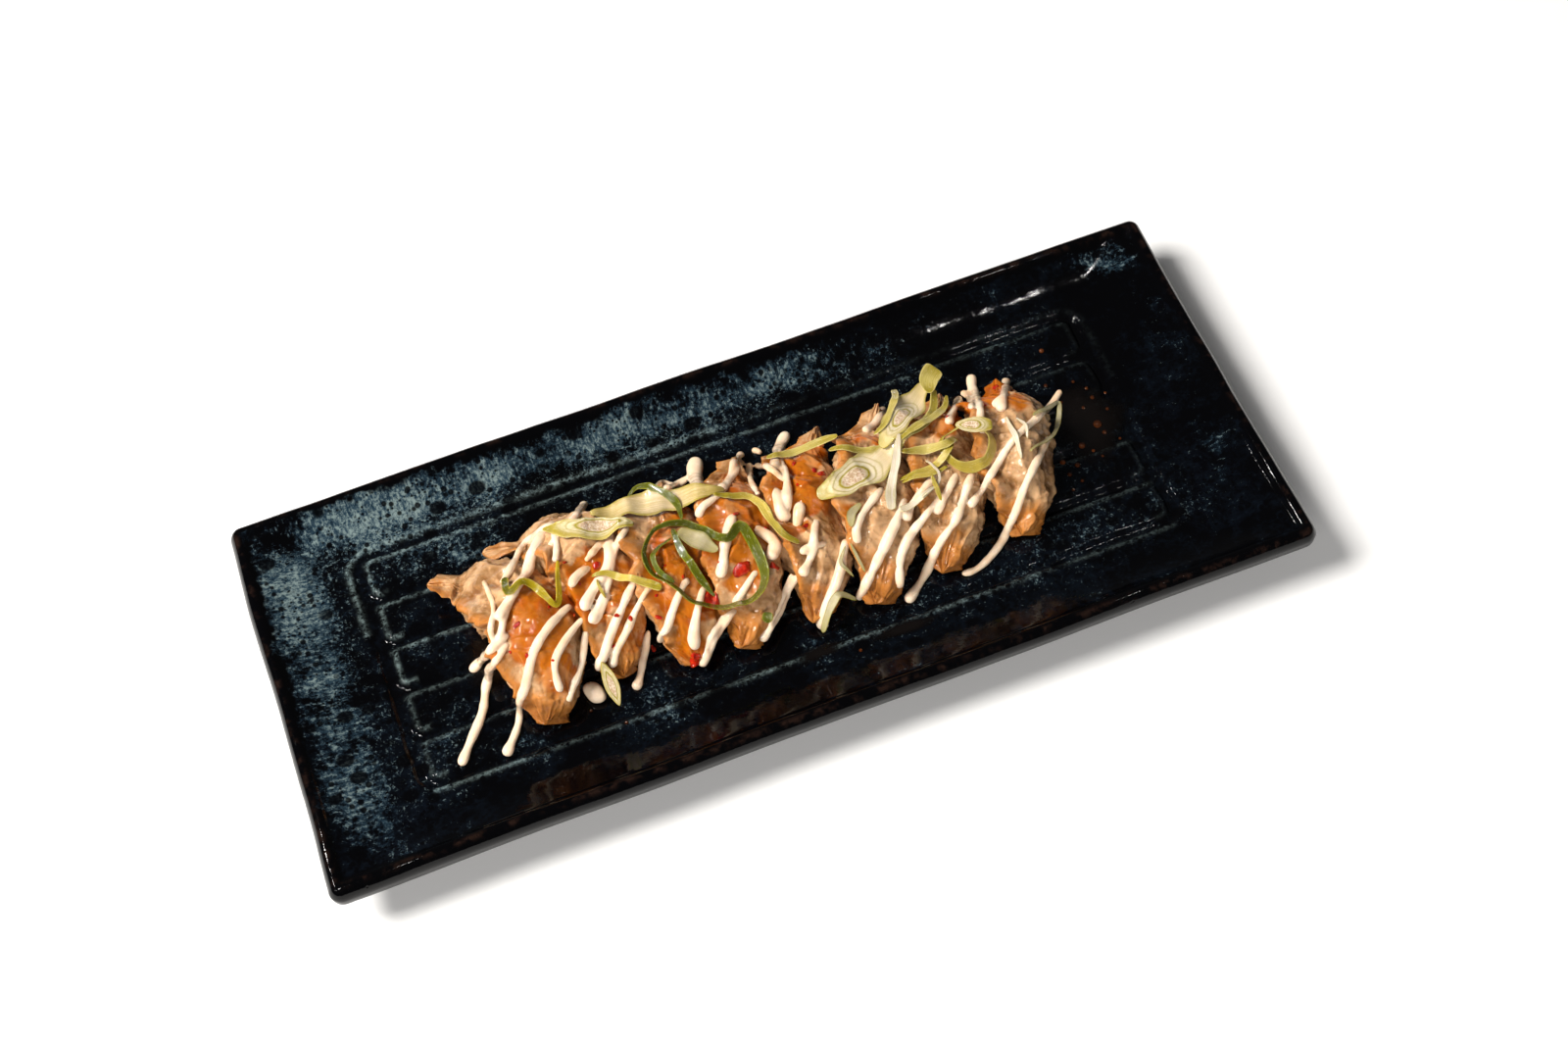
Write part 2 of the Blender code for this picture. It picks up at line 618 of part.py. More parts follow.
def strand_object(line, radius, collection):
    """A strand as a closed mesh: a curve with a round bevel, thick at its ends, made a mesh."""
    curve = bpy.data.curves.new("strand", "CURVE")
    curve.dimensions = "3D"
    curve.bevel_depth = radius
    curve.bevel_resolution = 1
    curve.use_fill_caps = True
    spline = curve.splines.new("POLY")
    spline.points.add(len(line) - 1)
    for i, (point, place) in enumerate(zip(spline.points, line)):
        point.co = (*place, 1)
        point.radius = DRIZZLE_BULBS if i in (1, len(line) - 2) and len(line) > 4 else 1
    spline.points[0].radius = spline.points[-1].radius = DRIZZLE_ENDS
    source = bpy.data.objects.new("strand_curve", curve)
    collection.objects.link(source)
    mesh = bpy.data.meshes.new_from_object(source.evaluated_get(bpy.context.evaluated_depsgraph_get()))
    bm = bmesh.new()
    bm.from_mesh(mesh)
    bpy.data.objects.remove(source, do_unlink=True)
    bpy.data.meshes.remove(mesh)
    bmesh.ops.remove_doubles(bm, verts=bm.verts, dist=0.01 * MM)
    return object_from(bm, "strand", collection, bpy.data.materials["cream"])


def glob_object(relief, place, collection):
    """A soft glob of chilli, half sunk in the food."""
    bm = bmesh.new()
    bmesh.ops.create_icosphere(bm, subdivisions=1, radius=CHILLI_RADIUS)
    bmesh.ops.translate(bm, verts=bm.verts, vec=relief.seen(place))
    return object_from(bm, "glob", collection, bpy.data.materials["chilli"])


def islands_of(bm):
    """The connected pieces of a bmesh, as lists of vertices."""
    left = set(bm.verts)
    pieces = []
    while left:
        piece, edge = [], [left.pop()]
        while edge:
            vertex = edge.pop()
            piece.append(vertex)
            for link in vertex.link_edges:
                other = link.other_vert(vertex)
                if other in left:
                    left.discard(other)
                    edge.append(other)
        pieces.append(piece)
    return pieces


def fuse(body, toppings):
    """Joins the toppings to the body with one union, and drops loose scraps and sealed hollows."""
    union = body.modifiers.new("drizzle", "BOOLEAN")
    union.operation = "UNION"
    union.operand_type = "COLLECTION"
    union.collection = toppings
    union.solver = "EXACT"
    union.material_mode = "TRANSFER"
    joined = bpy.data.meshes.new_from_object(body.evaluated_get(bpy.context.evaluated_depsgraph_get()))
    body.modifiers.remove(union)
    bm = bmesh.new()
    bm.from_mesh(joined)
    pieces = sorted(islands_of(bm), key=len)
    bmesh.ops.delete(bm, geom=[vertex for piece in pieces[:-1] for vertex in piece], context="VERTS")
    bmesh.ops.triangulate(bm, faces=bm.faces)
    bm.to_mesh(joined)
    bm.free()
    joined.shade_smooth()
    body.data = joined
    for obj in list(toppings.objects):
        bpy.data.objects.remove(obj, do_unlink=True)


def add_drizzle(bodies, relief):
    """Fuses the drizzle and the chilli globs to the dumplings that they lie on."""
    trees = {name: tree_of(body) for name, body in bodies.items()}
    runs = drizzle_runs(relief, trees)
    globs = []
    for place in CHILLI_GLOBS:
        distances = nearest(trees, relief.seen(place))
        globs.append((min(distances, key=distances.get), place))
    for name, body in bodies.items():
        toppings = new_collection("toppings_" + name)
        for owner, radius, line in runs:
            if owner == name:
                strand_object(line, radius, toppings)
        for owner, place in globs:
            if owner == name:
                glob_object(relief, place, toppings)
        if len(toppings.objects):
            fuse(body, toppings)
        bpy.data.collections.remove(toppings)


def build_drop(relief, parts):
    """The drop of drizzle that lies on the plate by itself."""
    place = relief.seen(DRIZZLE_DROP)
    bm = bmesh.new()
    bmesh.ops.create_uvsphere(bm, u_segments=12, v_segments=8, radius=1)
    length, width, height = DROP_SIZE
    for vertex in bm.verts:
        x, y, z = vertex.co
        z = max(z, -DROP_BASE) + DROP_BASE
        vertex.co = Vector((x * length - y * DROP_LEAN * width, y * width, z * height)) * MM
        vertex.co += Vector((place.x, place.y, PANEL_TOP + GAP))
    return object_from(bm, "drizzle_drop", parts, bpy.data.materials["cream"])


# ---------------------------------------------------------------- spring onion


def width_at(widths, share):
    """The width along a piece, through its start, middle and end."""
    start, middle, end = (value * MM for value in widths)
    if share < 0.5:
        return mix(start, middle, math.sin(math.pi * share))
    return mix(end, middle, math.sin(math.pi * share))


def onion_frame(line, closed, i):
    """The direction across a line at one of its points."""
    count = len(line) - 1
    if closed:
        ahead = line[(i + 1) % count] - line[(i - 1) % count]
    else:
        ahead = line[min(i + 1, count)] - line[max(i - 1, 0)]
    return Vector((-ahead.y, ahead.x, 0)).normalized()


def onion_heights(line, shape, trees):
    """The height of each point of the middle line, so that the strip clears what it lies on."""
    closed = shape.get("closed", False)
    count = len(line) - 1
    needed = []
    for i, point in enumerate(line):
        half = width_at(shape["widths"], 0.5 if closed else i / count) / 2
        tilt = math.radians(mix(*shape["tilts"], i / count))
        across = onion_frame(line, closed, i)
        along = Vector((across.y, -across.x, 0))
        best = PANEL_TOP
        for q in (-1.15, -0.6, 0, 0.6, 1.15):
            for ahead in (-1, -0.5, 0, 0.5, 1):
                spot = point + across * (q * half * math.cos(tilt)) + along * (ahead * 0.5 * ONION_STEP)
                best = max(best, top_of(trees, spot.x, spot.y) - q * half * math.sin(tilt))
        needed.append(max(best + CLEARANCE, (shape.get("level", 0) - 2) * MM))
    slope = ONION_SLOPE * ONION_STEP
    for _ in range(count):
        for i in range(len(needed)):
            for j in (i - 1, i + 1):
                j = j % count if closed else min(max(j, 0), count)
                needed[i] = max(needed[i], needed[j] - slope)
    if closed:
        needed[-1] = needed[0]
    return needed


def build_onion(name, shape, relief, trees, parts):
    """One piece of spring onion: a strip along its middle line, thickened upwards."""
    closed = shape.get("closed", False)
    places = [flat(relief.seen(place, shape.get("level"))) for place in shape["line"]]
    line = even_line(smooth_line(places, closed), ONION_STEP)
    heights = onion_heights(line, shape, trees)
    count = len(line) - 1
    bm = bmesh.new()
    rows = 2 if max(shape["widths"]) > BROAD_ONION else 1
    bmesh.ops.create_grid(bm, x_segments=count, y_segments=rows, size=1)
    for vertex in bm.verts:
        i = round((vertex.co.x + 1) / 2 * count)
        q = vertex.co.y
        share = i / count
        half = width_at(shape["widths"], 0.5 if closed else share) / 2
        tilt = math.radians(mix(*shape["tilts"], share))
        across = onion_frame(line, closed, i)
        lift = heights[i] + q * half * math.sin(tilt)
        vertex.co = line[i] + across * (q * half * math.cos(tilt)) + Vector((0, 0, lift))
    if closed:
        bmesh.ops.remove_doubles(bm, verts=bm.verts, dist=0.05 * MM)
    obj = object_from(bm, name, parts, bpy.data.materials["onion"])
    up = sum(polygon.normal.z * polygon.area for polygon in obj.data.polygons)
    if up < 0:
        obj.data.flip_normals()
    thicken = obj.modifiers.new("thickness", "SOLIDIFY")
    thicken.thickness = ONION_THICKNESS
    thicken.offset = 1
    return obj


def main():
    clear_scene()
    parts = new_collection("gyoza_plate")
    cutters = new_collection("cutters")
    new_material("dark_glaze", (0.012, 0.03, 0.045), 0.15, 0.6)
    new_material("wrapper", (0.62, 0.36, 0.17), 0.4, 0.4)
    new_material("cream", (0.85, 0.7, 0.52), 0.35, 0.3)
    new_material("onion", (0.42, 0.5, 0.14), 0.35)
    new_material("chilli", (0.6, 0.03, 0.01), 0.2, 0.6)
    plate = build_plate(parts, cutters)
    bodies = {}
    for order, (name, shape) in enumerate(DUMPLINGS.items()):
        bodies[name] = build_dumpling(name, shape, order, parts)
    relief = Relief([tree_of(body) for body in bodies.values()])
    add_drizzle(bodies, relief)
    drop = build_drop(relief, parts)
    trees = [tree_of(obj) for obj in (plate, drop, *bodies.values())]
    for name, shape in ONIONS.items():
        onion = build_onion(name, shape, relief, trees, parts)
        trees.append(tree_of(onion))


main()
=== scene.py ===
"""Looks for a long stoneware plate with a row of pan-fried dumplings, drizzle and spring onion.

Lengths are in millimetres until a mesh is written. Places of toppings are given as the camera sees them on a
level 27 mm above the table, and the sight line through each is followed down to the food.
"""

from __future__ import annotations

import logging
import math
from dataclasses import dataclass, field
from enum import Enum
from typing import Callable, Iterable, Optional, Sequence, Union

import bmesh
import bpy
import numpy as np
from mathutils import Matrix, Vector, noise
from mathutils.bvhtree import BVHTree
from mathutils.kdtree import KDTree


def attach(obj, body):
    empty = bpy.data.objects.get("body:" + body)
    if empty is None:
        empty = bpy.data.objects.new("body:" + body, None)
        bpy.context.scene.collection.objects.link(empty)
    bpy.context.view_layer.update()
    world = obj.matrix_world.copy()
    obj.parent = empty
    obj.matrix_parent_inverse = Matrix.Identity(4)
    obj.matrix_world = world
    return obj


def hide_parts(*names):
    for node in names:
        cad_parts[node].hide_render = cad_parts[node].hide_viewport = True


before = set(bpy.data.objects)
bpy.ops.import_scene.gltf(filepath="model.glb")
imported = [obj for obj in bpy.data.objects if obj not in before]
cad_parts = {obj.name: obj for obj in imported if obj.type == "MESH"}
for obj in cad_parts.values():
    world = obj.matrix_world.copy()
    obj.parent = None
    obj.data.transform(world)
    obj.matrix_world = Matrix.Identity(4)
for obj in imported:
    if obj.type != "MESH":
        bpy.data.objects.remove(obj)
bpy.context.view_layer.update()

LOG = logging.getLogger("gyoza_plate")
MM = 0.001
EYE = np.array([-85.43, -332.97, 625.54])
READ_LEVEL = 27.0
SKY = 200.0
HOOP_RADIUS = 2.0
PANEL_TOP = 15.0
FOOD_REST = PANEL_TOP + 0.35
TINY = 1e-9
BODY = "root"

Place = tuple[float, float]
Spot = tuple[float, float, float]
Colour = tuple[float, float, float]
Array = np.ndarray
Mesh = bpy.types.Mesh
Piece = bpy.types.Object
Material = bpy.types.Material


def srgb(red: float, green: float, blue: float) -> Colour:
    """Turns a screen colour, of parts from 0 to 255, into a linear one."""
    shares = (value / 255 for value in (red, green, blue))
    return tuple(v / 12.92 if v <= 0.04045 else ((v + 0.055) / 1.055) ** 2.4 for v in shares)


def ease(value: Array, low: float = 0.0, high: float = 1.0) -> Array:
    """Rises smoothly from 0 to 1 as the value goes from low to high."""
    share = np.clip((np.asarray(value, float) - low) / (high - low), 0, 1)
    return share * share * (3 - 2 * share)


def blend(low: Union[float, Array], high: Union[float, Array], share: Array) -> Array:
    """Goes from low to high as the share goes from 0 to 1."""
    return low + (high - low) * share


def bell(value: Array, middle: float, width: float) -> Array:
    """Is 1 at the middle and falls off to both sides."""
    return np.exp(-(((value - middle) / width) ** 2))


# ---- shader tools


def operator(operation: str, swapped: bool = False) -> Callable[[Socket, Value], Socket]:
    """Makes a method of Socket that adds one Math node.

    Args:
        operation: The node's operation.
        swapped: Whether the other value comes first.

    Returns:
        The method.
    """
    def method(self: Socket, other: Value) -> Socket:
        """Adds the node on this and the other value."""
        return self.math(operation, *((other, self) if swapped else (self, other)))

    return method


class Socket:
    """One output of a shader node, with operators that add Math nodes."""

    __add__ = operator("ADD")
    __radd__ = operator("ADD", True)
    __sub__ = operator("SUBTRACT")
    __rsub__ = operator("SUBTRACT", True)
    __mul__ = operator("MULTIPLY")
    __rmul__ = operator("MULTIPLY", True)
    __truediv__ = operator("DIVIDE")
    highest = operator("MAXIMUM")

    def __init__(self, graph: Graph, link: bpy.types.NodeSocket) -> None:
        """Keeps the graph and the node's output."""
        self.graph = graph
        self.link = link

    def math(self, operation: str, *values: Value) -> Socket:
        """Adds a Math node on the given values."""
        return self.graph.node("ShaderNodeMath", {"operation": operation}, dict(enumerate(values)))

    def hump(self, middle: float, width: float) -> Socket:
        """Is 1 at the middle and falls off to both sides."""
        off = (self - middle) / width
        return self.math("EXPONENT", 0 - off * off)

    def rise(self, low: float, high: float) -> Socket:
        """Rises smoothly from 0 to 1 as this goes from low to high."""
        inputs = {"Value": self, "From Min": low, "From Max": high}
        return self.graph.node("ShaderNodeMapRange", {"interpolation_type": "SMOOTHSTEP"}, inputs)

    def fall(self, low: float, high: float) -> Socket:
        """Falls smoothly from 1 to 0 as this goes from low to high."""
        return 1 - self.rise(low, high)


Value = Union[Socket, float]
Input = Union[Socket, float, tuple]


class Graph:
    """A material's nodes, with its Principled shader at the end."""

    def __init__(self, name: str) -> None:
        """Makes the material.

        Args:
            name: The material's name.
        """
        self.material = bpy.data.materials.new(name)
        self.material.use_nodes = True
        self.tree = self.material.node_tree
        self.shader = self.tree.nodes["Principled BSDF"]

    def put(self, socket: bpy.types.NodeSocket, value: Input) -> None:
        """Links a value to an input, or sets it there.

        Args:
            socket: The input.
            value: An output, a number, or a vector or colour of three.
        """
        if isinstance(value, Socket):
            self.tree.links.new(value.link, socket)
        else:
            socket.default_value = (*value, 1) if socket.type == "RGBA" else value

    def node(self, kind: str, settings: Optional[dict] = None, inputs: Optional[dict] = None,
             output: Union[int, str] = 0) -> Socket:
        """Adds any node.

        Args:
            kind: The node's type.
            settings: Its settings, set first.
            inputs: The values or links of its sockets.
            output: Which output to return.

        Returns:
            The chosen output.
        """
        made = self.tree.nodes.new(kind)
        for name, value in (settings or {}).items():
            setattr(made, name, value)
        for name, value in (inputs or {}).items():
            self.put(made.inputs[name], value)
        return Socket(self, made.outputs[output])

    def place(self) -> Socket:
        """The point on the object, in metres."""
        return self.node("ShaderNodeTexCoord", output="Object")

    def along(self) -> Socket:
        """The piece's own UV map."""
        return self.node("ShaderNodeTexCoord", output="UV")

    def stretch(self, where: Socket, scale: Spot) -> Socket:
        """Scales a point for a pattern."""
        return self.node("ShaderNodeMapping", None, {"Vector": where, "Scale": scale})

    def noise(self, where: Socket, scale: float, detail: float = 2.0, roughness: float = 0.5,
              twist: float = 0.0) -> Socket:
        """Adds cloudy noise, around 0.5, of which a metre holds as many clouds as the scale says."""
        inputs = {"Vector": where, "Scale": scale, "Detail": detail, "Roughness": roughness}
        return self.node("ShaderNodeTexNoise", None, {**inputs, "Distortion": twist})

    def cells(self, where: Socket, scale: float) -> Socket:
        """The distance to the middle of Voronoi cells, of which a metre holds as many as the scale says."""
        return self.node("ShaderNodeTexVoronoi", None, {"Vector": where, "Scale": scale})

    def attribute(self, name: str, output: str = "Fac") -> Socket:
        """Reads an attribute of the mesh."""
        return self.node("ShaderNodeAttribute", {"attribute_name": name}, None, output)

    def mix(self, share: Value, first: Input, second: Input, way: str = "MIX") -> Socket:
        """Mixes two colours, with the share saying how much of the second shows."""
        settings = {"data_type": "RGBA", "blend_type": way}
        return self.node("ShaderNodeMix", settings, {0: share, 6: first, 7: second}, 2)

    def bump(self, height: Socket, depth: float) -> Socket:
        """Turns a height into a normal. A height of 1 stands for as many metres as the depth says."""
        inputs = {"Height": height, "Distance": depth, "Strength": 1.0}
        return self.node("ShaderNodeBump", None, inputs)

    def finish(self, inputs: dict[str, Input]) -> Material:
        """Sets the shader's sockets.

        Args:
            inputs: Their values or links.

        Returns:
            The finished material.
        """
        for name, value in inputs.items():
            self.put(self.shader.inputs[name], value)
        return self.material


# ---- finishes


@dataclass(frozen=True)
class StonewareGlaze:
    """A dark running glaze: black pooled over blue, streaked pale where it broke over the border, with
    painted light and reflection mixed into its pale blue patches.
    """

    black: Colour = srgb(2, 2, 3)
    navy: Colour = srgb(7, 12, 19)
    blue: Colour = srgb(32, 50, 62)
    pale: Colour = srgb(106, 121, 120)
    rim_brown: Colour = srgb(34, 22, 17)
    clay: Colour = srgb(120, 96, 74)
    foot_height: float = 0.0012
    gloss: float = 0.05
    ripple_depth: float = 0.00026

    def material(self) -> Material:
        """Builds the glaze.

        Returns:
            The material.
        """
        g = Graph("stoneware_glaze")
        where = g.place()
        outward = g.attribute("end")
        streaks = g.noise(g.stretch(where, (950, 320, 400)), 1, 4, 0.7, 0.3)
        streaks_end = g.noise(g.stretch(where, (320, 950, 400)), 1, 4, 0.7, 0.3)
        streak = streaks * (1 - outward) + streaks_end * outward
        cloud = g.noise(where, 34, 5, 0.6, 0.8)
        mottle = g.noise(where, 300, 6, 0.74, 0.4)
        speck = g.noise(where, 900, 5, 0.82)
        glaze_and_painted_light = g.attribute("glaze_and_painted_light")
        edge = g.attribute("edge") * g.noise(where, 260, 4, 0.75).rise(0.34, 0.56)
        border = g.attribute("border")
        rim = g.attribute("rim")
        grain = streak * border * 0.5 + speck * (1 - border * 0.5)
        # The painted mask is partly the glaze's own pale breaks and partly painted light and reflection.
        strength = glaze_and_painted_light * (0.84 + border * 0.5) - 0.13 + (cloud - 0.5) * 1.9
        strength = strength + (mottle - 0.5) * 1.6 + edge * 0.4
        blue_share = (strength + (grain - 0.5) * 2.2).rise(0.2, 0.8)
        pale_share = (strength + (grain - 0.5) * 5.4).rise(0.5, 1.4)
        colour = g.mix((cloud + mottle).rise(0.85, 1.3), self.black, self.navy)
        colour = g.mix(blue_share, colour, self.blue)
        colour = g.mix(pale_share, colour, self.pale)
        colour = g.mix(edge * grain.rise(0.34, 0.58) * 0.66, colour, self.pale)
        big = g.cells(g.stretch(where, (95, 120, 60)), 1).fall(0.23, 0.33)
        big = big * g.noise(where, 42, 1).rise(0.38, 0.46)
        small = g.cells(where, 300).fall(0.24, 0.36) * g.noise(where, 70, 2).rise(0.46, 0.53)
        tiny = g.cells(g.stretch(where, (620, 760, 300)), 1).fall(0.2, 0.38)
        tiny = tiny * g.noise(where, 110, 2).rise(0.44, 0.54)
        colour = g.mix(big.highest(small).highest(tiny) * 0.93, colour, self.black)
        colour = g.mix(rim.rise(0.1, 0.8), colour, self.black)
        worn = g.attribute("crown") * g.noise(where, 240, 3, 0.6).rise(0.46, 0.66)
        colour = g.mix(worn * 0.7, colour, self.rim_brown)
        foot = g.node("ShaderNodeSeparateXYZ", None, {0: where}, "Z")
        foot = foot.fall(self.foot_height / 3, self.foot_height)
        colour = g.mix(foot, colour, self.clay)
        ripple = g.noise(where, 110, 2, 0.5)
        orange_peel = g.noise(where, 480, 2, 0.5)
        pits = g.cells(where, 240).fall(0.0, 0.14) * g.noise(where, 60, 1).rise(0.5, 0.58)
        height = ripple * 0.22 + orange_peel * 0.14 + speck * 0.02 - pits * 0.2
        return g.finish({
            "Base Color": colour,
            "Roughness": self.gloss + mottle.rise(0.4, 0.8) * 0.06 + foot * 0.6,
            "Normal": g.bump(height, self.ripple_depth),
            "IOR": 1.28,
        })


@dataclass(frozen=True)
class FriedWrapper:
    """A thin wrapper, tan where it is dry, browned at its tips, with a sweet chilli glaze over its top.
    Shade is painted into its creases and light onto its ridges.
    """

    light: Colour = srgb(208, 166, 122)
    tan: Colour = srgb(144, 100, 56)
    filling: Colour = srgb(98, 66, 34)
    brown: Colour = srgb(180, 112, 44)
    crust: Colour = srgb(120, 67, 22)
    # Painted shade for the creases.
    crease: Colour = srgb(118, 66, 22)
    glaze: Colour = srgb(170, 92, 8)
    glaze_deep: Colour = srgb(158, 68, 5)
    milky: Colour = srgb(212, 158, 104)
    gloss: float = 0.13
    blister_depth: float = 0.0006

    def material(self) -> Material:
        """Builds the wrapper.

        Returns:
            The material.
        """
        g = Graph("fried_wrapper")
        where = g.place()
        glazed = g.attribute("glaze")
        browned = g.attribute("brown")
        dip = g.attribute("dip")
        hollow = g.attribute("hollow")
        soft = g.noise(where, 150, 4, 0.6, 0.4)
        fine = g.noise(where, 900, 4, 0.65)
        colour = g.mix(soft.rise(0.36, 0.66), self.tan, self.light)
        showing = hollow * g.noise(where, 170, 4, 0.65, 0.5).rise(0.42, 0.6)
        colour = g.mix(showing * 0.8, colour, self.filling)
        # Painted shade darkens the creases and painted light brightens the ridges.
        colour = g.mix(dip.rise(0, 0.9) * 0.75, colour, self.crease)
        colour = g.mix((0 - dip).rise(0.1, 1) * 0.55, colour, self.light)
        browning = (browned * 1.1 + fine * 0.6 - 0.34).rise(0.1, 0.8)
        colour = g.mix(browning * 0.85, colour, self.brown)
        crusted = (browned + g.noise(where, 420, 4, 0.7) * 0.6).rise(1.02, 1.4)
        colour = g.mix(crusted * 0.7, colour, self.crust)
        film = (glazed * 1.1 + g.noise(where, 260, 4, 0.6, 0.5) * 0.7 - 0.38).rise(0.1, 0.75)
        syrup = g.mix(g.noise(where, 130, 4, 0.65).rise(0.42, 0.66) * 0.8, self.glaze, self.glaze_deep)
        thin = g.noise(where, 95, 3, 0.6, 0.6).rise(0.5, 0.68)
        syrup = g.mix(dip.rise(0.1, 1) * 0.7, syrup, self.glaze_deep)
        colour = g.mix(film * (0.98 - thin * 0.22), colour, syrup)
        smear = g.noise(g.stretch(where, (150, 90, 120)), 1, 4, 0.6, 0.6).rise(0.53, 0.63) * glazed
        colour = g.mix(smear * 0.36, colour, self.milky)
        freckle = g.cells(where, 900).fall(0.05, 0.3) * g.noise(where, 260, 2).rise(0.5, 0.62)
        colour = g.mix(freckle * (1 - film) * 0.35, colour, self.brown)
        blister = g.cells(where, 520).fall(0.1, 0.42) * g.noise(where, 190, 2).rise(0.47, 0.6)
        height = g.noise(where, 260, 2, 0.4) * 0.7 + blister * 0.35 * (1 - film * 0.6) + fine * 0.06
        return g.finish({
            "Base Color": colour,
            "Roughness": self.gloss - film * 0.05 + fine * 0.08,
            "Normal": g.bump(height, self.blister_depth),
            "Specular IOR Level": 0.7,
            "Subsurface Weight": 0.18,
            "Subsurface Radius": (1.0, 0.45, 0.2),
            "Subsurface Scale": 0.002,
        })


@dataclass(frozen=True)
class CreamyDrizzle:
    """A thick warm-white sauce, a little stained where it thins out over the glaze."""

    cream: Colour = srgb(238, 214, 186)
    stained: Colour = srgb(212, 158, 102)
    gloss: float = 0.2
    lump_depth: float = 0.0003

    def material(self) -> Material:
        """Builds the sauce.

        Returns:
            The material.
        """
        g = Graph("creamy_drizzle")
        where = g.place()
        stain = g.attribute("stain") * (0.35 + g.noise(where, 240, 3, 0.6).rise(0.35, 0.65) * 0.65)
        cloud = g.noise(where, 220, 3, 0.5).rise(0.4, 0.75)
        colour = g.mix(cloud * 0.22 + stain * 0.78, self.cream, self.stained)
        height = g.noise(where, 420, 2, 0.5) * 0.6 + g.noise(where, 1400, 2, 0.5) * 0.05
        return g.finish({
            "Base Color": colour,
            "Roughness": self.gloss + g.noise(where, 700, 2).rise(0.4, 0.8) * 0.12,
            "Normal": g.bump(height, self.lump_depth),
            "Coat Weight": 0.6,
            "Coat Roughness": 0.08,
            "Subsurface Weight": 0.3,
            "Subsurface Radius": (1.0, 0.7, 0.45),
            "Subsurface Scale": 0.0015,
        })


@dataclass(frozen=True)
class OnionSkin:
    """Wet spring onion: its tint is painted on the mesh, fine fibres run along it, and slices show rings.

    Each ring is given by its distance from the middle of the slice, its width and its strength.
    """

    shade: Colour = (0.66, 0.66, 0.4092)
    gloss: float = 0.2
    fibre_depth: float = 0.0001
    sheen: Colour = srgb(214, 200, 170)
    pith: Colour = srgb(230, 210, 184)
    pith_dark: Colour = srgb(184, 146, 112)
    ring: Colour = srgb(144, 128, 10)
    cut_face: Colour = srgb(222, 210, 182)
    rings: tuple = ((1.04, 0.12, 1.0), (1.5, 0.07, 0.66), (1.95, 0.08, 0.42))

    def material(self) -> Material:
        """Builds the onion.

        Returns:
            The material.
        """
        g = Graph("spring_onion_skin")
        along = g.along()
        tint = g.attribute("tint", "Color")
        fibres = g.noise(g.stretch(along, (0.7, 30, 1)), 1, 5, 0.7)
        cells = g.noise(g.stretch(along, (6, 14, 1)), 1, 3, 0.6)
        darker = g.mix(1.0, tint, self.shade, "MULTIPLY")
        oval = g.attribute("oval")
        colour = g.mix(fibres.rise(0.38, 0.62) * (0.85 - oval.fall(5.5, 8) * 0.4), tint, darker)
        colour = g.mix(oval.fall(1.3, 2.3) * (0.35 + cells.rise(0.3, 0.6) * 0.4), colour, self.cut_face)
        # A painted sheen over the paler cells.
        colour = g.mix(cells.rise(0.52, 0.72) * 0.14, colour, self.sheen)
        oval = oval + (g.noise(g.place(), 420, 2) - 0.5) * 0.12
        heart = oval.fall(0.84, 0.93)
        speckle = g.noise(g.place(), 1500, 3, 0.8).rise(0.42, 0.6)
        colour = g.mix(heart * 0.9, colour, g.mix(speckle, self.pith_dark, self.pith))
        for at, width, strength in self.rings:
            colour = g.mix(oval.hump(at, width) * strength, colour, self.ring)
        return g.finish({
            "Base Color": colour,
            "Roughness": self.gloss + cells * 0.12,
            "Normal": g.bump(fibres + speckle * heart * 0.6, self.fibre_depth),
            "Coat Weight": 0.6,
            "Coat Roughness": 0.06,
            "Alpha": 1 - g.attribute("clear") * (0.72 - fibres.rise(0.4, 0.65) * 0.4),
            "Subsurface Weight": 0.2,
            "Subsurface Radius": (0.8, 1.0, 0.35),
            "Subsurface Scale": 0.0012,
        })


@dataclass(frozen=True)
class ChilliSkin:
    """Wet red chilli."""

    red: Colour = srgb(176, 30, 6)
    dark: Colour = srgb(128, 16, 4)
    orange: Colour = srgb(196, 78, 20)

    def material(self) -> Material:
        """Builds the chilli.

        Returns:
            The material.
        """
        g = Graph("chilli_skin")
        where = g.place()
        colour = g.mix(g.noise(where, 500, 3, 0.6).rise(0.36, 0.66), self.dark, self.red)
        colour = g.mix(g.noise(where, 900, 2, 0.6).rise(0.54, 0.72) * 0.6, colour, self.orange)
        return g.finish({
            "Base Color": colour,
            "Roughness": 0.14 + g.noise(where, 1200, 2) * 0.1,
            "Normal": g.bump(g.noise(where, 1600, 2), 0.0002),
            "Coat Weight": 0.6,
            "Coat Roughness": 0.05,
            "Subsurface Weight": 0.2,
            "Subsurface Radius": (1.0, 0.15, 0.05),
            "Subsurface Scale": 0.001,
        })


@dataclass(frozen=True)
class AmberSauce:
    """A thin dark sauce, amber in its drops, that lets the plate show where it is thinnest."""

    deep: Colour = srgb(9, 6, 5)
    amber: Colour = srgb(84, 40, 12)

    def material(self) -> Material:
        """Builds the sauce.

        Returns:
            The material.
        """
        g = Graph("amber_sauce")
        where = g.place()
        lift = g.attribute("lift")
        cloud = g.noise(where, 260, 3, 0.6).rise(0.45, 0.75)
        colour = g.mix(lift * (0.35 + cloud * 0.65), self.deep, self.amber)
        return g.finish({
            "Base Color": colour,
            "Roughness": 0.04 + g.noise(where, 400, 2) * 0.05,
            "Normal": g.bump(g.noise(where, 350, 2), 0.0001),
            "Alpha": (g.attribute("depth") + g.noise(where, 90, 3, 0.6) * 0.7).rise(0.4, 1.2),
        })


@dataclass(frozen=True)
class PaleFloor:
    """A plain pale table top."""

    light: Colour = (0.94, 0.94, 0.9353)
    dim: Colour = (0.9259, 0.9259, 0.9212)

    def material(self) -> Material:
        """Builds the floor.

        Returns:
            The material.
        """
        g = Graph("pale_floor")
        colour = g.mix(g.noise(g.place(), 30, 3), self.light, self.dim)
        return g.finish({"Base Color": colour, "Roughness": 0.85})


# ---- numbers and meshes


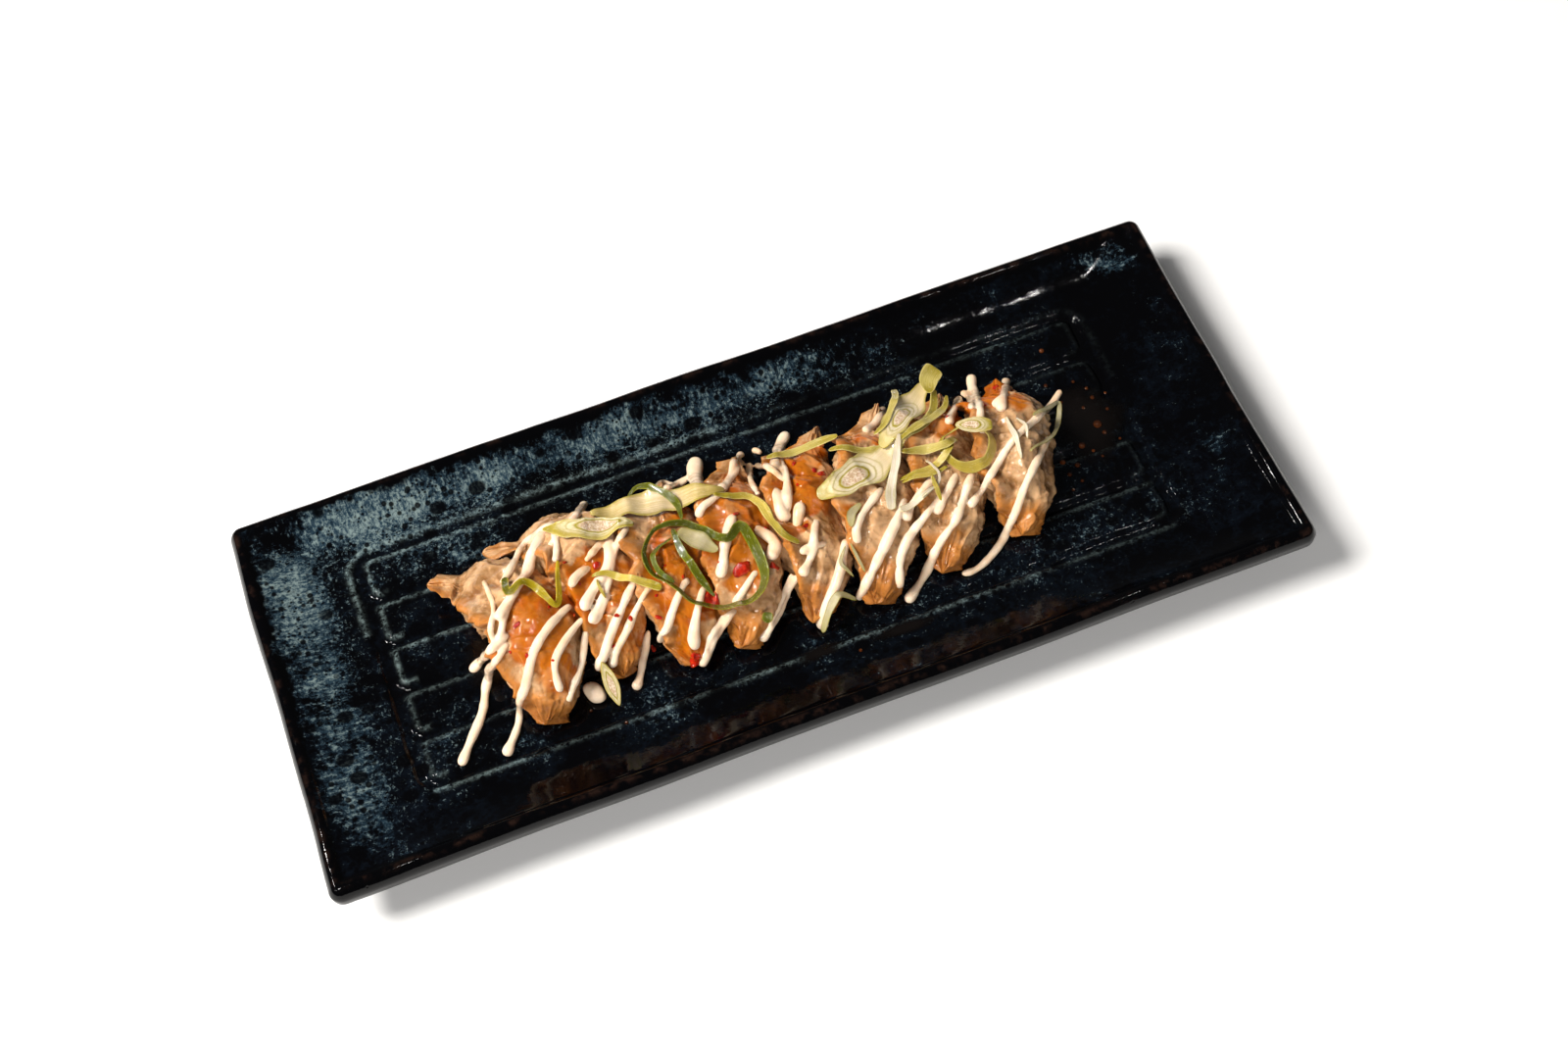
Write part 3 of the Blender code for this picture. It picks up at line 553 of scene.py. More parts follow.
class Grain:
    """Repeatable noise on arrays of points."""

    @staticmethod
    def _hash(cell: Array, seed: int) -> Array:
        """Gives each cell of a lattice its own number.

        Args:
            cell: Whole numbers, three a cell.
            seed: Which pattern.

        Returns:
            Values from 0 to 1.
        """
        mixed = (cell[..., 0] * 73856093) ^ (cell[..., 1] * 19349663) ^ (cell[..., 2] * 83492791)
        mixed = (mixed ^ (seed * 40503 + 977)) & 0xFFFFFFFF
        for _ in range(2):
            mixed = ((mixed ^ (mixed >> 16)) * 0x45D9F3B) & 0xFFFFFFFF
        return ((mixed ^ (mixed >> 16)) & 0xFFFFFF) / 0xFFFFFF

    @classmethod
    def smooth(cls, points: Array, seed: int = 0) -> Array:
        """Smooth noise.

        Args:
            points: N by 3 places.
            seed: Which pattern.

        Returns:
            N values from -1 to 1.
        """
        base = np.floor(points).astype(np.int64)
        part = points - base
        part = part * part * (3 - 2 * part)
        total = np.zeros(len(points))
        for corner in np.ndindex(2, 2, 2):
            weight = np.prod(np.where(corner, part, 1 - part), axis=1)
            total += weight * cls._hash(base + np.array(corner), seed)
        return total * 2 - 1

    @classmethod
    def row(cls, along: Array, across: Union[float, Array], order: float, seed: int) -> Array:
        """Smooth noise from -1 to 1 that runs along a piece, its own for each order."""
        return cls.smooth(np.column_stack([along, along * 0 + across, along * 0 + order]), seed)

    @classmethod
    def layered(cls, points: Array, seed: int = 0, layers: int = 3) -> Array:
        """Smooth noise with finer layers on it.

        Args:
            points: N by 3 places.
            seed: Which pattern.
            layers: How many layers.

        Returns:
            N values around 0.
        """
        total = np.zeros(len(points))
        for layer in range(layers):
            total += cls.smooth(points * 2.03 ** layer, seed + layer * 17) * 0.55 ** layer
        return total

    @classmethod
    def bubbles(cls, points: Array, seed: int = 0, size: float = 0.5) -> Array:
        """Round bumps, one in most cells of a lattice.

        Args:
            points: N by 3 places.
            seed: Which pattern.
            size: Radius of the largest bump, in cells.

        Returns:
            N heights from 0 to 1.
        """
        base = np.floor(points).astype(np.int64)
        best = np.zeros(len(points))
        for offset in np.ndindex(3, 3, 3):
            cell = base + np.array(offset) - 1
            spot = [cls._hash(cell, seed + k) for k in (1, 2, 3)]
            middle = cell + 0.5 + 0.35 * (np.stack(spot, axis=1) * 2 - 1)
            radius = size * (0.35 + 0.65 * cls._hash(cell, seed + 4))
            share = np.linalg.norm(points - middle, axis=1) / radius
            best = np.maximum(best, np.sqrt(np.clip(1 - share ** 2, 0, 1)) * radius / size)
        return best


def smooth_line(places: Sequence[Sequence[float]], closed: bool = False, steps: int = 8) -> Array:
    """Points of a smooth curve through the given ones.

    Args:
        places: The points to go through.
        closed: Whether it comes back to its start.
        steps: How many points each stretch gets.

    Returns:
        The points of the curve.
    """
    given = np.array(places, float)
    count = len(given)
    line = []
    for i in range(count if closed else count - 1):
        picks = [(i + k) % count if closed else min(max(i + k, 0), count - 1) for k in (-1, 0, 1, 2)]
        a, b, c, d = (given[k] for k in picks)
        for step in range(steps):
            t = step / steps
            bend = (2 * a - 5 * b + 4 * c - d) * t * t
            line.append(0.5 * (2 * b + (c - a) * t + bend + (3 * b - a - 3 * c + d) * t ** 3))
    line.append(given[0] if closed else given[-1])
    return np.array(line)


def even_line(line: Array, step: float) -> Array:
    """The same line with points an even step apart.

    Args:
        line: The points of the line.
        step: The wanted step.

    Returns:
        The evenly spaced points.
    """
    run = np.concatenate([[0], np.cumsum(np.linalg.norm(np.diff(line, axis=0), axis=1))])
    wanted = np.linspace(0, run[-1], max(4, round(run[-1] / step)) + 1)
    return np.stack([np.interp(wanted, run, line[:, k]) for k in range(line.shape[1])], axis=1)


def relaxed(values: Array, passes: int, closed: bool = False) -> Array:
    """Evens out a line's values along it, with its ends kept.

    Args:
        values: Values or points along a line.
        passes: How often it is evened out.
        closed: Whether it is a loop whose last point repeats its first.

    Returns:
        The relaxed values.
    """
    values = np.array(values, float)
    for _ in range(passes):
        if closed:
            ring = values[:-1]
            ring = (np.roll(ring, 1, 0) + 2 * ring + np.roll(ring, -1, 0)) / 4
            values = np.concatenate([ring, ring[:1]])
        else:
            values[1:-1] = (values[:-2] + 2 * values[1:-1] + values[2:]) / 4
    return values


def along_line(line: Array, share: Array) -> Array:
    """The points at shares from 0 to 1 of an even line's length."""
    stops = np.linspace(0, 1, len(line))
    return np.stack([np.interp(share, stops, line[:, k]) for k in range(line.shape[1])], axis=1)


def points_of(mesh: Mesh) -> Array:
    """Reads a mesh's points.

    Args:
        mesh: The mesh.

    Returns:
        N by 3 places, in the mesh's own units.
    """
    found = np.empty(len(mesh.vertices) * 3, np.float32)
    mesh.vertices.foreach_get("co", found)
    return found.reshape(-1, 3).astype(float)


def spots_in(bm: bmesh.types.BMesh) -> Array:
    """The points of a bmesh, N by 3, in the order that its mesh has."""
    return np.array([vertex.co[:] for vertex in bm.verts])


def mesh_from(bm: bmesh.types.BMesh, name: str, places: Array) -> Mesh:
    """Writes a bmesh, moves its points, and turns its faces outwards.

    Args:
        bm: The bmesh, which is freed.
        name: The mesh's name.
        places: The points' new places in millimetres.

    Returns:
        The mesh, in metres.
    """
    mesh = bpy.data.meshes.new(name)
    bm.to_mesh(mesh)
    bm.free()
    placed = places * MM
    mesh.vertices.foreach_set("co", placed.astype(np.float32).ravel())
    mesh.calc_loop_triangles()
    corners = np.empty(len(mesh.loop_triangles) * 3, np.int32)
    mesh.loop_triangles.foreach_get("vertices", corners)
    a, b, c = (placed[corners[k::3]] for k in range(3))
    if np.einsum("ij,ij->i", a, np.cross(b, c)).sum() < 0:
        mesh.flip_normals()
    mesh.shade_smooth()
    mesh.update()
    return mesh


def ball(around: int, along: int) -> bmesh.types.BMesh:
    """Makes a unit sphere, whose poles become the two ends of a long piece.

    Args:
        around: How many faces lie around it.
        along: How many lie from pole to pole.

    Returns:
        The sphere.
    """
    bm = bmesh.new()
    bmesh.ops.create_uvsphere(bm, u_segments=around, v_segments=along, radius=1)
    return bm


def hoop(around: int, along: int) -> bmesh.types.BMesh:
    """Makes a ring of tube, whose tube has a radius of 1.

    Args:
        around: How many faces lie around the tube.
        along: How many lie along it.

    Returns:
        The ring.
    """
    bm = bmesh.new()
    for vertex in bmesh.ops.create_circle(bm, segments=around, radius=1)["verts"]:
        vertex.co = Vector((HOOP_RADIUS + vertex.co.x, 0, vertex.co.y))
    bmesh.ops.spin(bm, geom=bm.verts[:] + bm.edges[:], cent=(0, 0, 0), axis=(0, 0, 1), angle=math.tau,
                   steps=along, use_merge=True)
    return bm


def spread(unit: Array) -> tuple[Array, Array]:
    """How far from pole to pole a unit sphere's points are, from 0 to 1, and their angle round the piece."""
    return np.arccos(np.clip(-unit[:, 2], -1, 1)) / math.pi, np.arctan2(unit[:, 1], unit[:, 0])


def paint(mesh: Mesh, name: str, values: Array) -> None:
    """Stores a number or a colour for each point.

    Args:
        mesh: The mesh.
        name: The attribute's name.
        values: N numbers, or N by 3 linear colours.
    """
    kind, field_name = "FLOAT", "value"
    if values.ndim == 2:
        kind, field_name = "FLOAT_COLOR", "color"
        values = np.hstack([values, np.ones((len(values), 1))])
    mesh.attributes.new(name, kind, "POINT").data.foreach_set(field_name, values.astype(np.float32).ravel())


def unwrap(mesh: Mesh, flat: Array) -> None:
    """Gives the mesh a UV map.

    Args:
        mesh: The mesh.
        flat: N by 2 places on the map.
    """
    corners = np.empty(len(mesh.loops), np.int32)
    mesh.loops.foreach_get("vertex_index", corners)
    layer = mesh.uv_layers.new(name="UVMap")
    layer.data.foreach_set("uv", flat[corners].astype(np.float32).ravel())


def add_piece(mesh: Mesh, material: Material,
              replaced: Iterable[str] = ()) -> Piece:
    """Puts a finished mesh in the scene and has it ride on the part.

    Args:
        mesh: The mesh, named as the piece is.
        material: Its material.
        replaced: The CAD nodes that it stands for.

    Returns:
        The new object.
    """
    mesh.materials.clear()
    mesh.materials.append(material)
    piece = bpy.data.objects.new(mesh.name, mesh)
    bpy.context.scene.collection.objects.link(piece)
    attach(piece, BODY)
    for node in replaced:
        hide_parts(node)
    LOG.info("%s: %d faces", mesh.name, len(mesh.polygons))
    return piece


def tree_of(piece: Piece) -> BVHTree:
    """A search tree of the piece, in metres."""
    return BVHTree.FromObject(piece, bpy.context.evaluated_depsgraph_get())


# ---- plate


@dataclass
class Plate:
    """The long plate: a grooved panel, a rising border, a rounded rim, and a foot ring below."""

    half_length: float = 161.9
    half_depth: float = 68.0
    height: float = 22.0
    corner: float = 4.0
    panel_half: Place = (131.0, 48.0)
    rim_inner: float = 5.6
    rim_crown: float = 3.0
    wave: float = 0.7
    skew: float = 0.006
    rim_roll: float = 1.6
    rim_drop: float = 3.2
    wobble: float = 0.16
    groove_first: float = -41.5
    groove_pitch: float = 17.0
    groove_count: int = 6
    groove_depth: float = 1.2
    bar_half: Place = (123.4, 6.7)
    bar_corner: float = 2.6
    frame_half: Place = (128.4, 44.4)
    frame_corner: float = 7.0
    foot_half: Place = (126.0, 42.0)
    foot_corner: float = 8.0
    # Where the pitch of the mesh's lines changes, and how many lines follow.
    columns: tuple = (
        (-162, 12), (-156, 24), (-131, 24), (-119, 180), (119, 24), (131, 24), (156, 12), (162, 1),
    )
    rows: tuple = ((-68, 12), (-62, 14), (-48, 168), (48, 14), (62, 12), (68, 1))
    # Inset and height of each ring of the outside, and outward offset and height of each ring of the foot.
    outside: tuple = (
        (0.0, 17.7), (0.02, 16.6), (0.12, 15.5), (0.45, 14.6), (1.2, 13.7), (2.8, 12.8), (5.2, 12.1),
        (8.0, 11.7),
    )
    foot: tuple = (
        (9.0, 9.6), (1.5, 7.0), (0.4, 1.2), (0.0, 0.3), (-0.4, 0.0), (-4.6, 0.0), (-5.0, 0.3),
        (-6.5, 8.5),
    )
    # Where the glaze looks pale, partly where it broke and partly painted light and reflection: place, reach
    # along and across, strength.
    glaze_and_light_patches: tuple = (
        (-147, 34, 14, 28, 0.86), (-145, 2, 14, 26, 0.66), (-146, -34, 12, 20, 0.58),
        (-122, 22, 12, 24, 0.34), (-118, -22, 14, 18, 0.34), (-98, -40, 24, 7, 0.5),
        (-112, 53, 40, 13, 0.8), (-45, 54, 50, 11, 0.76), (-80, 55, 34, 11, 0.7),
        (-100, 36, 32, 12, 0.55), (-60, 38, 40, 8, 0.4), (-126, -5, 10, 40, 0.28), (25, 55, 45, 9, 0.6),
        (78, 57, 32, 7, 0.4), (146, 58, 12, 8, 0.7), (150, 34, 8, 22, 0.32), (148, -18, 8, 22, 0.34),
        (124, -38, 20, 8, 0.35), (96, -33, 18, 7, 0.3), (50, -40, 30, 4, 0.3), (0, -42, 40, 4, 0.32),
        (-50, -42, 36, 4, 0.32), (112, 44, 22, 5, 0.3), (-20, 46, 90, 4, 0.45), (-75, 33, 30, 6, 0.35),
        (60, 36, 40, 6, 0.2), (128, 5, 12, 24, 0.15), (-20, -46, 60, 3, 0.25),
    )

    @property
    def grooves(self) -> list[float]:
        """The middles of the long grooves."""
        return [self.groove_first + self.groove_pitch * i for i in range(self.groove_count)]

    @staticmethod
    def lines(stops: Sequence[Place]) -> Array:
        """Places of the mesh's lines, from where their pitch changes and how many lines follow."""
        parts = [np.linspace(a, b, n, endpoint=False) for (a, n), (b, _) in zip(stops, stops[1:])]
        return np.append(np.concatenate(parts), float(stops[-1][0]))

    def rounded(self, x: Array, y: Array, half: Place, radius: float) -> tuple[Array, Array]:
        """Moves points of a rectangle into one with round corners.

        Args:
            x: Places along a full-size plate.
            y: Places across it.
            half: Half the new length and depth.
            radius: The new corner radius.

        Returns:
            The moved x and y.
        """
        inner_x, inner_y = self.half_length - self.corner, self.half_depth - self.corner
        u = np.clip((np.abs(x) - inner_x) / self.corner, 0, 1)
        v = np.clip((np.abs(y) - inner_y) / self.corner, 0, 1)
        in_x = np.minimum(np.abs(x), inner_x) * (half[0] - radius) / inner_x
        in_y = np.minimum(np.abs(y), inner_y) * (half[1] - radius) / inner_y
        out_x = in_x + radius * u * np.sqrt(1 - v * v / 2)
        out_y = in_y + radius * v * np.sqrt(1 - u * u / 2)
        return np.sign(x) * out_x, np.sign(y) * out_y

    def inset(self, x: Array, y: Array) -> Array:
        """How far each point lies inside the outline."""
        return -self.beyond(x, y, (self.half_length, self.half_depth), self.corner)

    def outward(self, x: Array, y: Array) -> tuple[Array, Array]:
        """How far out on the border each point is, towards the long sides and towards the ends.

        Args:
            x: Places along.
            y: Places across.

        Returns:
            Two shares, 0 on the panel and 1 where the rim starts.
        """
        length, depth = self.panel_half
        side = np.clip((np.abs(y) - depth) / (self.half_depth - self.rim_inner - depth), 0, None)
        end = np.clip((np.abs(x) - length) / (self.half_length - self.rim_inner - length), 0, None)
        return side, end

    @staticmethod
    def beyond(x: Array, y: Array, half: Place, corner: float) -> Array:
        """How far each point lies outside a rectangle with round corners.

        Args:
            x: Places along.
            y: Places across.
            half: Half the rectangle's length and depth.
            corner: Its corner radius.

        Returns:
            The distances, below 0 inside.
        """
        over_x, over_y = np.abs(x) - half[0] + corner, np.abs(y) - half[1] + corner
        outer = np.hypot(np.maximum(over_x, 0), np.maximum(over_y, 0))
        return outer + np.minimum(np.maximum(over_x, over_y), 0) - corner

    def groove(self, x: Array, y: Array) -> Array:
        """The share of the groove's depth at each point: what neither the bars nor the border cover.

        Args:
            x: Places along.
            y: Places across.

        Returns:
            Values from 0 to 1.
        """
        spots = np.stack([x, y, x * 0], axis=1)
        wander = 0.5 * Grain.smooth(spots / 12, 71) + 0.3 * Grain.smooth(spots / 3.1, 72)
        off_bars = np.full(len(x), 9.0)
        for low, high in zip(self.grooves, self.grooves[1:]):
            off = self.beyond(x, y - (low + high) / 2, self.bar_half, self.bar_corner)
            off_bars = np.minimum(off_bars, off)
        middle = (self.grooves[0] + self.grooves[-1]) / 2
        off_border = -self.beyond(x, y - middle, self.frame_half, self.frame_corner)
        return ease(np.minimum(off_bars, off_border) + wander, -0.5, 1.7)

    def waves(self, x: Array, y: Array, share: Array) -> Array:
        """The hand-made outline's skew, swings and lifts.

        Args:
            x: Places along.
            y: Places across.
            share: How far each point follows them.

        Returns:
            The points' offsets.
        """
        swing = np.array([noise.noise(Vector((a * 0.022, b * 0.03, 3.7))) for a, b in zip(x, y)])
        lift = np.array([noise.noise(Vector((a * 0.018, b * 0.025, 9.1))) for a, b in zip(x, y)])
        reach = np.maximum(np.hypot(x, y), 1)
        pushed = self.wave * share * swing / reach
        return np.stack([x * pushed, y * pushed + self.skew * share * x, self.wave * share * lift], axis=1)

    def top(self, x: Array, y: Array) -> Array:
        """The height of the top at each point, before the waves.

        Args:
            x: Places along.
            y: Places across.

        Returns:
            The heights.
        """
        side, end = self.outward(x, y)
        share = np.clip((side ** 5 + end ** 5) ** 0.2, 0, 1)
        border = PANEL_TOP + (self.height - self.rim_roll - PANEL_TOP) * share ** 1.6
        inset = self.inset(x, y)
        crown = self.rim_crown
        inner = self.height - self.rim_roll * ((inset - crown) / (self.rim_inner - crown)) ** 2
        outer = self.height - self.rim_drop * (np.clip(crown - inset, 0, None) / crown) ** 2.6
        rim = np.where(inset > crown, inner, outer)
        z = np.where(inset < self.rim_inner, rim, border)
        wobble = Grain.smooth(np.stack([x / 11, y / 9, x * 0], axis=1), 5)
        cut = self.groove(x, y)
        return z - self.groove_depth * cut + self.wobble * wobble * (1 - cut)

    def build(self, glaze: StonewareGlaze) -> Piece:
        """Builds the plate.

        Args:
            glaze: The plate's finish.

        Returns:
            The plate.
        """
        columns, rows = self.lines(self.columns), self.lines(self.rows)
        bm = bmesh.new()
        bmesh.ops.create_grid(bm, x_segments=len(columns) - 1, y_segments=len(rows) - 1, size=1)
        across = np.array([vertex.co[:2] for vertex in bm.verts])
        x = columns[np.rint((across[:, 0] + 1) / 2 * (len(columns) - 1)).astype(int)]
        y = rows[np.rint((across[:, 1] + 1) / 2 * (len(rows) - 1)).astype(int)]
        round_x, round_y = self.rounded(x, y, (self.half_length, self.half_depth), self.corner)
        share = np.interp(self.inset(round_x, round_y), (3, 5.6, 9, 17), (1, 0.8, 0.4, 0))
        places = [np.stack([round_x, round_y, self.top(round_x, round_y)], axis=1)]
        places[0] += self.waves(round_x, round_y, share)
        edges = [edge for edge in bm.edges if edge.is_boundary]
        bm.verts.index_update()
        source = {vertex: vertex.index for edge in edges for vertex in edge.verts}
        for half, radius, height, wave in self.under():
            made = bmesh.ops.extrude_edge_only(bm, edges=edges)["geom"]
            verts = [item for item in made if isinstance(item, bmesh.types.BMVert)]
            new = set(verts)
            old = [next(e.other_vert(v) for e in v.link_edges if e.other_vert(v) in source) for v in verts]
            picks = [source[vertex] for vertex in old]
            edges = [item for item in made if isinstance(item, bmesh.types.BMEdge)]
            edges = [edge for edge in edges if edge.verts[0] in new and edge.verts[1] in new]
            source = dict(zip(verts, picks))
            ring_x, ring_y = self.rounded(x[picks], y[picks], half, radius)
            ring = np.stack([ring_x, ring_y, np.full(len(picks), height)], axis=1)
            places.append(ring + self.waves(round_x[picks], round_y[picks], np.full(len(picks), wave)))
        bmesh.ops.contextual_create(bm, geom=edges)
        bmesh.ops.triangulate(bm, faces=[face for face in bm.faces if len(face.verts) > 4])
        placed = np.concatenate(places)
        mesh = mesh_from(bm, "stoneware_plate", placed)
        self.dress(mesh, placed)
        return add_piece(mesh, glaze.material(), ["plate"])

    def under(self) -> list[tuple[Place, float, float, float]]:
        """The rings below the rim.

        Returns:
            Half length and depth, corner radius, height and waviness of each.
        """
        rings = []
        for inset, height in self.outside:
            half = (self.half_length - inset, self.half_depth - inset)
            rings.append((half, self.corner, height, 1.0 if inset < 2 else 0.6))
        for outward, height in self.foot:
            half = (self.foot_half[0] + outward, self.foot_half[1] + outward)
            rings.append((half, self.foot_corner, height, 0.0))
        return rings

    def dress(self, mesh: Mesh, placed: Array) -> None:
        """Paints where the glaze ran, broke and pooled, and where light and reflection are painted in as
        pale glaze.

        Args:
            mesh: The plate's mesh.
            placed: Its points in millimetres.
        """
        x, y, z = placed.T
        side, end = self.outward(x, y)
        inset = self.inset(x, y)
        on_top = ease(z, 13.0, 13.4) * (inset > 0.5)
        paint(mesh, "end", ease(end - side + 0.5 + 0.3 * Grain.smooth(placed / 9, 2), 0.2, 0.8))
        paint(mesh, "border", ease(np.maximum(side, end), 0.1, 0.45))
        wander = 1.5 * Grain.layered(placed / 6, 8) + 1.1 * Grain.smooth(placed / 1.6, 9)
        paint(mesh, "rim", np.maximum(1 - ease(inset + wander, 4.0, 6.8), 1 - on_top))
        paint(mesh, "crown", bell(inset, 2.6, 1.0) * on_top)
        line = np.zeros(len(x))
        for middle in self.grooves:
            near = bell(y - middle, -2.3, 0.75) * (1 - ease(np.abs(x), 122, 125))
            line = np.maximum(line, near)
        curve = np.zeros(len(x))
        for low, high in zip(self.grooves, self.grooves[1:]):
            off = self.beyond(x, y - (low + high) / 2, self.bar_half, self.bar_corner)
            curve = np.maximum(curve, bell(off, -0.6, 0.7) * (np.abs(x) > 119))
        outer = -self.beyond(x, y - 1, self.frame_half, self.frame_corner)
        curve = np.maximum(curve, bell(outer, -0.8, 0.9) * (y > 15))
        faded = 0.4 + 0.6 * ease(Grain.smooth(placed / 16, 77), -0.4, 0.4)
        sides = np.where(x < 0, 1.0, 0.08)
        line = line * np.interp(x, (-110, 0, 120), (1, 0.8, 0.3))
        paint(mesh, "edge", np.maximum(line, curve * sides) * faded)
        # Pale patches, partly where the glaze broke and partly painted light and reflection, held down in
        # the grooves where it pooled.
        glaze_and_light = np.zeros(len(x))
        for at_x, at_y, wide, deep, strength in self.glaze_and_light_patches:
            off = ((x - at_x) / wide) ** 2 + ((y - at_y) / deep) ** 2
            glaze_and_light = np.maximum(glaze_and_light, strength * np.exp(-0.7 * off))
        inside = (np.abs(x) < self.panel_half[0]) * (np.abs(y) < self.panel_half[1] - 2)
        pooled = 1 - 0.75 * self.groove(x, y) * inside
        paint(mesh, "glaze_and_painted_light", np.clip(glaze_and_light * pooled - 0.1, 0, 1) * on_top)


# ---- dumplings


@dataclass
class Dumpling:
    """One folded dumpling: a leaning teardrop along a curved line, with a pleated seam along its top."""

    name: str
    order: int
    spine: tuple
    girth: Place
    lean: float
    tail: Place
    glaze: tuple = ()
    hollow: float = 0.6
    around: int = 132
    along: int = 210
    blunt: float = 0.035
    squash: float = 0.92
    seat: float = 0.86
    crest: float = 0.2
    crest_width: float = math.radians(40)
    fin_width: float = math.radians(9)
    fin_height: float = 5.2
    tail_thickness: float = 1.6
    tail_back: float = 1.0
    tip_lean: float = 46.0
    ragged: Place = (0.045, 0.045)
    tip_height: float = 4.5
    plump: float = 1.07
    crowding: float = 0.6
    seam_width: float = math.radians(30)
    seam_swing: float = math.radians(13)
    seam_ripple: float = math.radians(9)
    pleats: float = 7.5
    foot: float = 0.6

    def swing(self, along: Array, turn: Union[float, Array], pace: float, seed: int) -> Array:
        """Noise from -1 to 1 that runs along the dumpling, with as many swings as the pace says."""
        return Grain.row(along * pace, turn, self.order * 4.7, seed)

    def middle(self, along: Array) -> Array:
        """Points of the cubic through the four given places, which stand a third apart.

        Args:
            along: Share of the length.

        Returns:
            N by 2 places.
        """
        stops = (0, 1 / 3, 2 / 3, 1)
        total = np.zeros((len(along), 2))
        for i, spot in enumerate(self.spine):
            weight = np.ones(len(along))
            for j, stop in enumerate(stops):
                if j != i:
                    weight = weight * (along - stop) / (stops[i] - stop)
            total += weight[:, None] * np.array(spot)
        return total

    @staticmethod
    def fullness(along: Array) -> Array:
        """How full the dumpling is along its length.

        Args:
            along: Share of the length.

        Returns:
            1 in the middle, 0 at the tip and in the flat tail.
        """
        off = (along - 0.45) / 0.47
        near = np.clip(1 - np.abs(np.minimum(off, 0)) ** 1.9, 0, 1) ** 0.8
        far = np.clip(1 - np.clip(off, 0, None) ** 4, 0, 1) ** 0.55
        return np.where(off < 0, near, far)

    def shape(self, unit: Array) -> tuple[Array, dict[str, Array]]:
        """Moves the points of a unit sphere into the dumpling.

        Args:
            unit: Points of the sphere.

        Returns:
            The points in millimetres, and the masks for its finish.
        """
        polar, angle = spread(unit)
        along = np.clip((polar - self.blunt) / (1 - 2 * self.blunt), 0, 1)
        cap = np.clip(np.minimum(polar, 1 - polar) / self.blunt, 0, 1)
        shrink = np.sqrt(1 - (1 - cap) ** 2)
        along = along + (1 - cap) ** 2 * np.where(polar < 0.5, -0.012, 0.012)
        rag = 0.45 + 0.55 * np.cos(2 * angle) + 0.5 * Grain.smooth(unit * (2.2, 2.2, 0), self.order + 120)
        ends = 1 - ease(along, 0, 0.09) - ease(along, 0.91, 1)
        here = self.middle(along + np.where(along < 0.5, *self.ragged) * rag * ends * shrink)
        ahead = self.middle(along + 0.01) - self.middle(along - 0.01)
        side = np.stack([ahead[:, 1], -ahead[:, 0]], axis=1)
        side /= np.linalg.norm(side, axis=1, keepdims=True)
        full = self.fullness(along)
        girth = blend(*self.girth, ease(along, 1 / 3, 2 / 3)) * self.plump
        radius = self.tail_thickness + (girth - self.tail_thickness) * full
        turn = angle - self.crowding * np.sin(angle)
        near_seam = bell(turn, 0, self.seam_width)
        flat = 1 - ease(full, 0, 0.5)
        seam = math.pi / 2 + math.radians(self.lean) + self.seam_swing * self.swing(along, 0.5, 6, 12)
        seam = seam + self.seam_ripple * self.swing(along, 1.5, 17, 13) * near_seam * (0.4 + 0.6 * full)
        seam = seam + 0.5 * self.swing(along, 2.5, 22, 14) * flat * near_seam
        seam = seam + math.radians(self.tip_lean) * ease(along, 0.72, 0.93)
        swell = self.crest * bell(turn, 0, self.crest_width) * full
        fin = blend(self.tail[0], self.fin_height, ease(full, 0.35, 0.95))
        fin = fin * (1 + 0.42 * self.swing(along, 3.5, 8, 15) + 0.22 * self.swing(along, 4.5, 21, 16))
        narrowed = 1 - 0.45 * ease(along, 0.86, 1) * (self.tip_lean > 0)
        reach = radius * (1 + swell) + fin * narrowed * np.exp(-((turn / self.fin_width) ** 2) ** 1.3)
        reach = reach + flat * narrowed * self.tail[0] * self.tail_back * bell(np.abs(turn), math.pi, 0.35)
        fold = self.folds(along, turn, full)
        reach = reach + fold
        tip = blend(self.tip_height, self.tail[1], ease(along))
        centre = blend(tip, self.seat * self.squash * radius, ease(full, 0, 1 / 2.2))
        direction = seam + turn
        base = self.placed(here, side, reach * shrink, direction, centre)
        detail = self.relief(base, along, turn, full) * (0.3 + 0.7 * cap)
        glazed = self.glazed(base)
        # How sunk each point is: the wrapper paints shade into the creases and light onto the ridges from
        # it, and pools its glaze deeper in the dips.
        dip = np.clip(-(fold + detail - 0.3) / 1.6, -1, 1)
        detail = detail * (1 - 0.35 * glazed) + 0.3 * glazed
        points = self.placed(here, side, (reach + detail) * shrink, direction, centre)
        brown = self.browned(along, turn, base)
        return points, {"glaze": glazed, "brown": brown, "hollow": full * self.hollow, "dip": dip}

    def placed(self, here: Array, side: Array, reach: Array, direction: Array, centre: Array) -> Array:
        """Puts the section's points in space, flattened where they would go through the plate.

        Args:
            here: Places on the middle line.
            side: Level directions across it.
            reach: Distances from the section's centre.
            direction: Angles from the side.
            centre: The centres' heights above the plate.

        Returns:
            The points.
        """
        height = centre + self.squash * reach * np.sin(direction)
        sunk = self.foot * np.exp(np.clip(height / self.foot - 1, -8, 0))
        height = np.where(height < self.foot, sunk, height)
        flat = here + side * (reach * np.cos(direction))[:, None]
        return np.column_stack([flat, FOOD_REST + height])

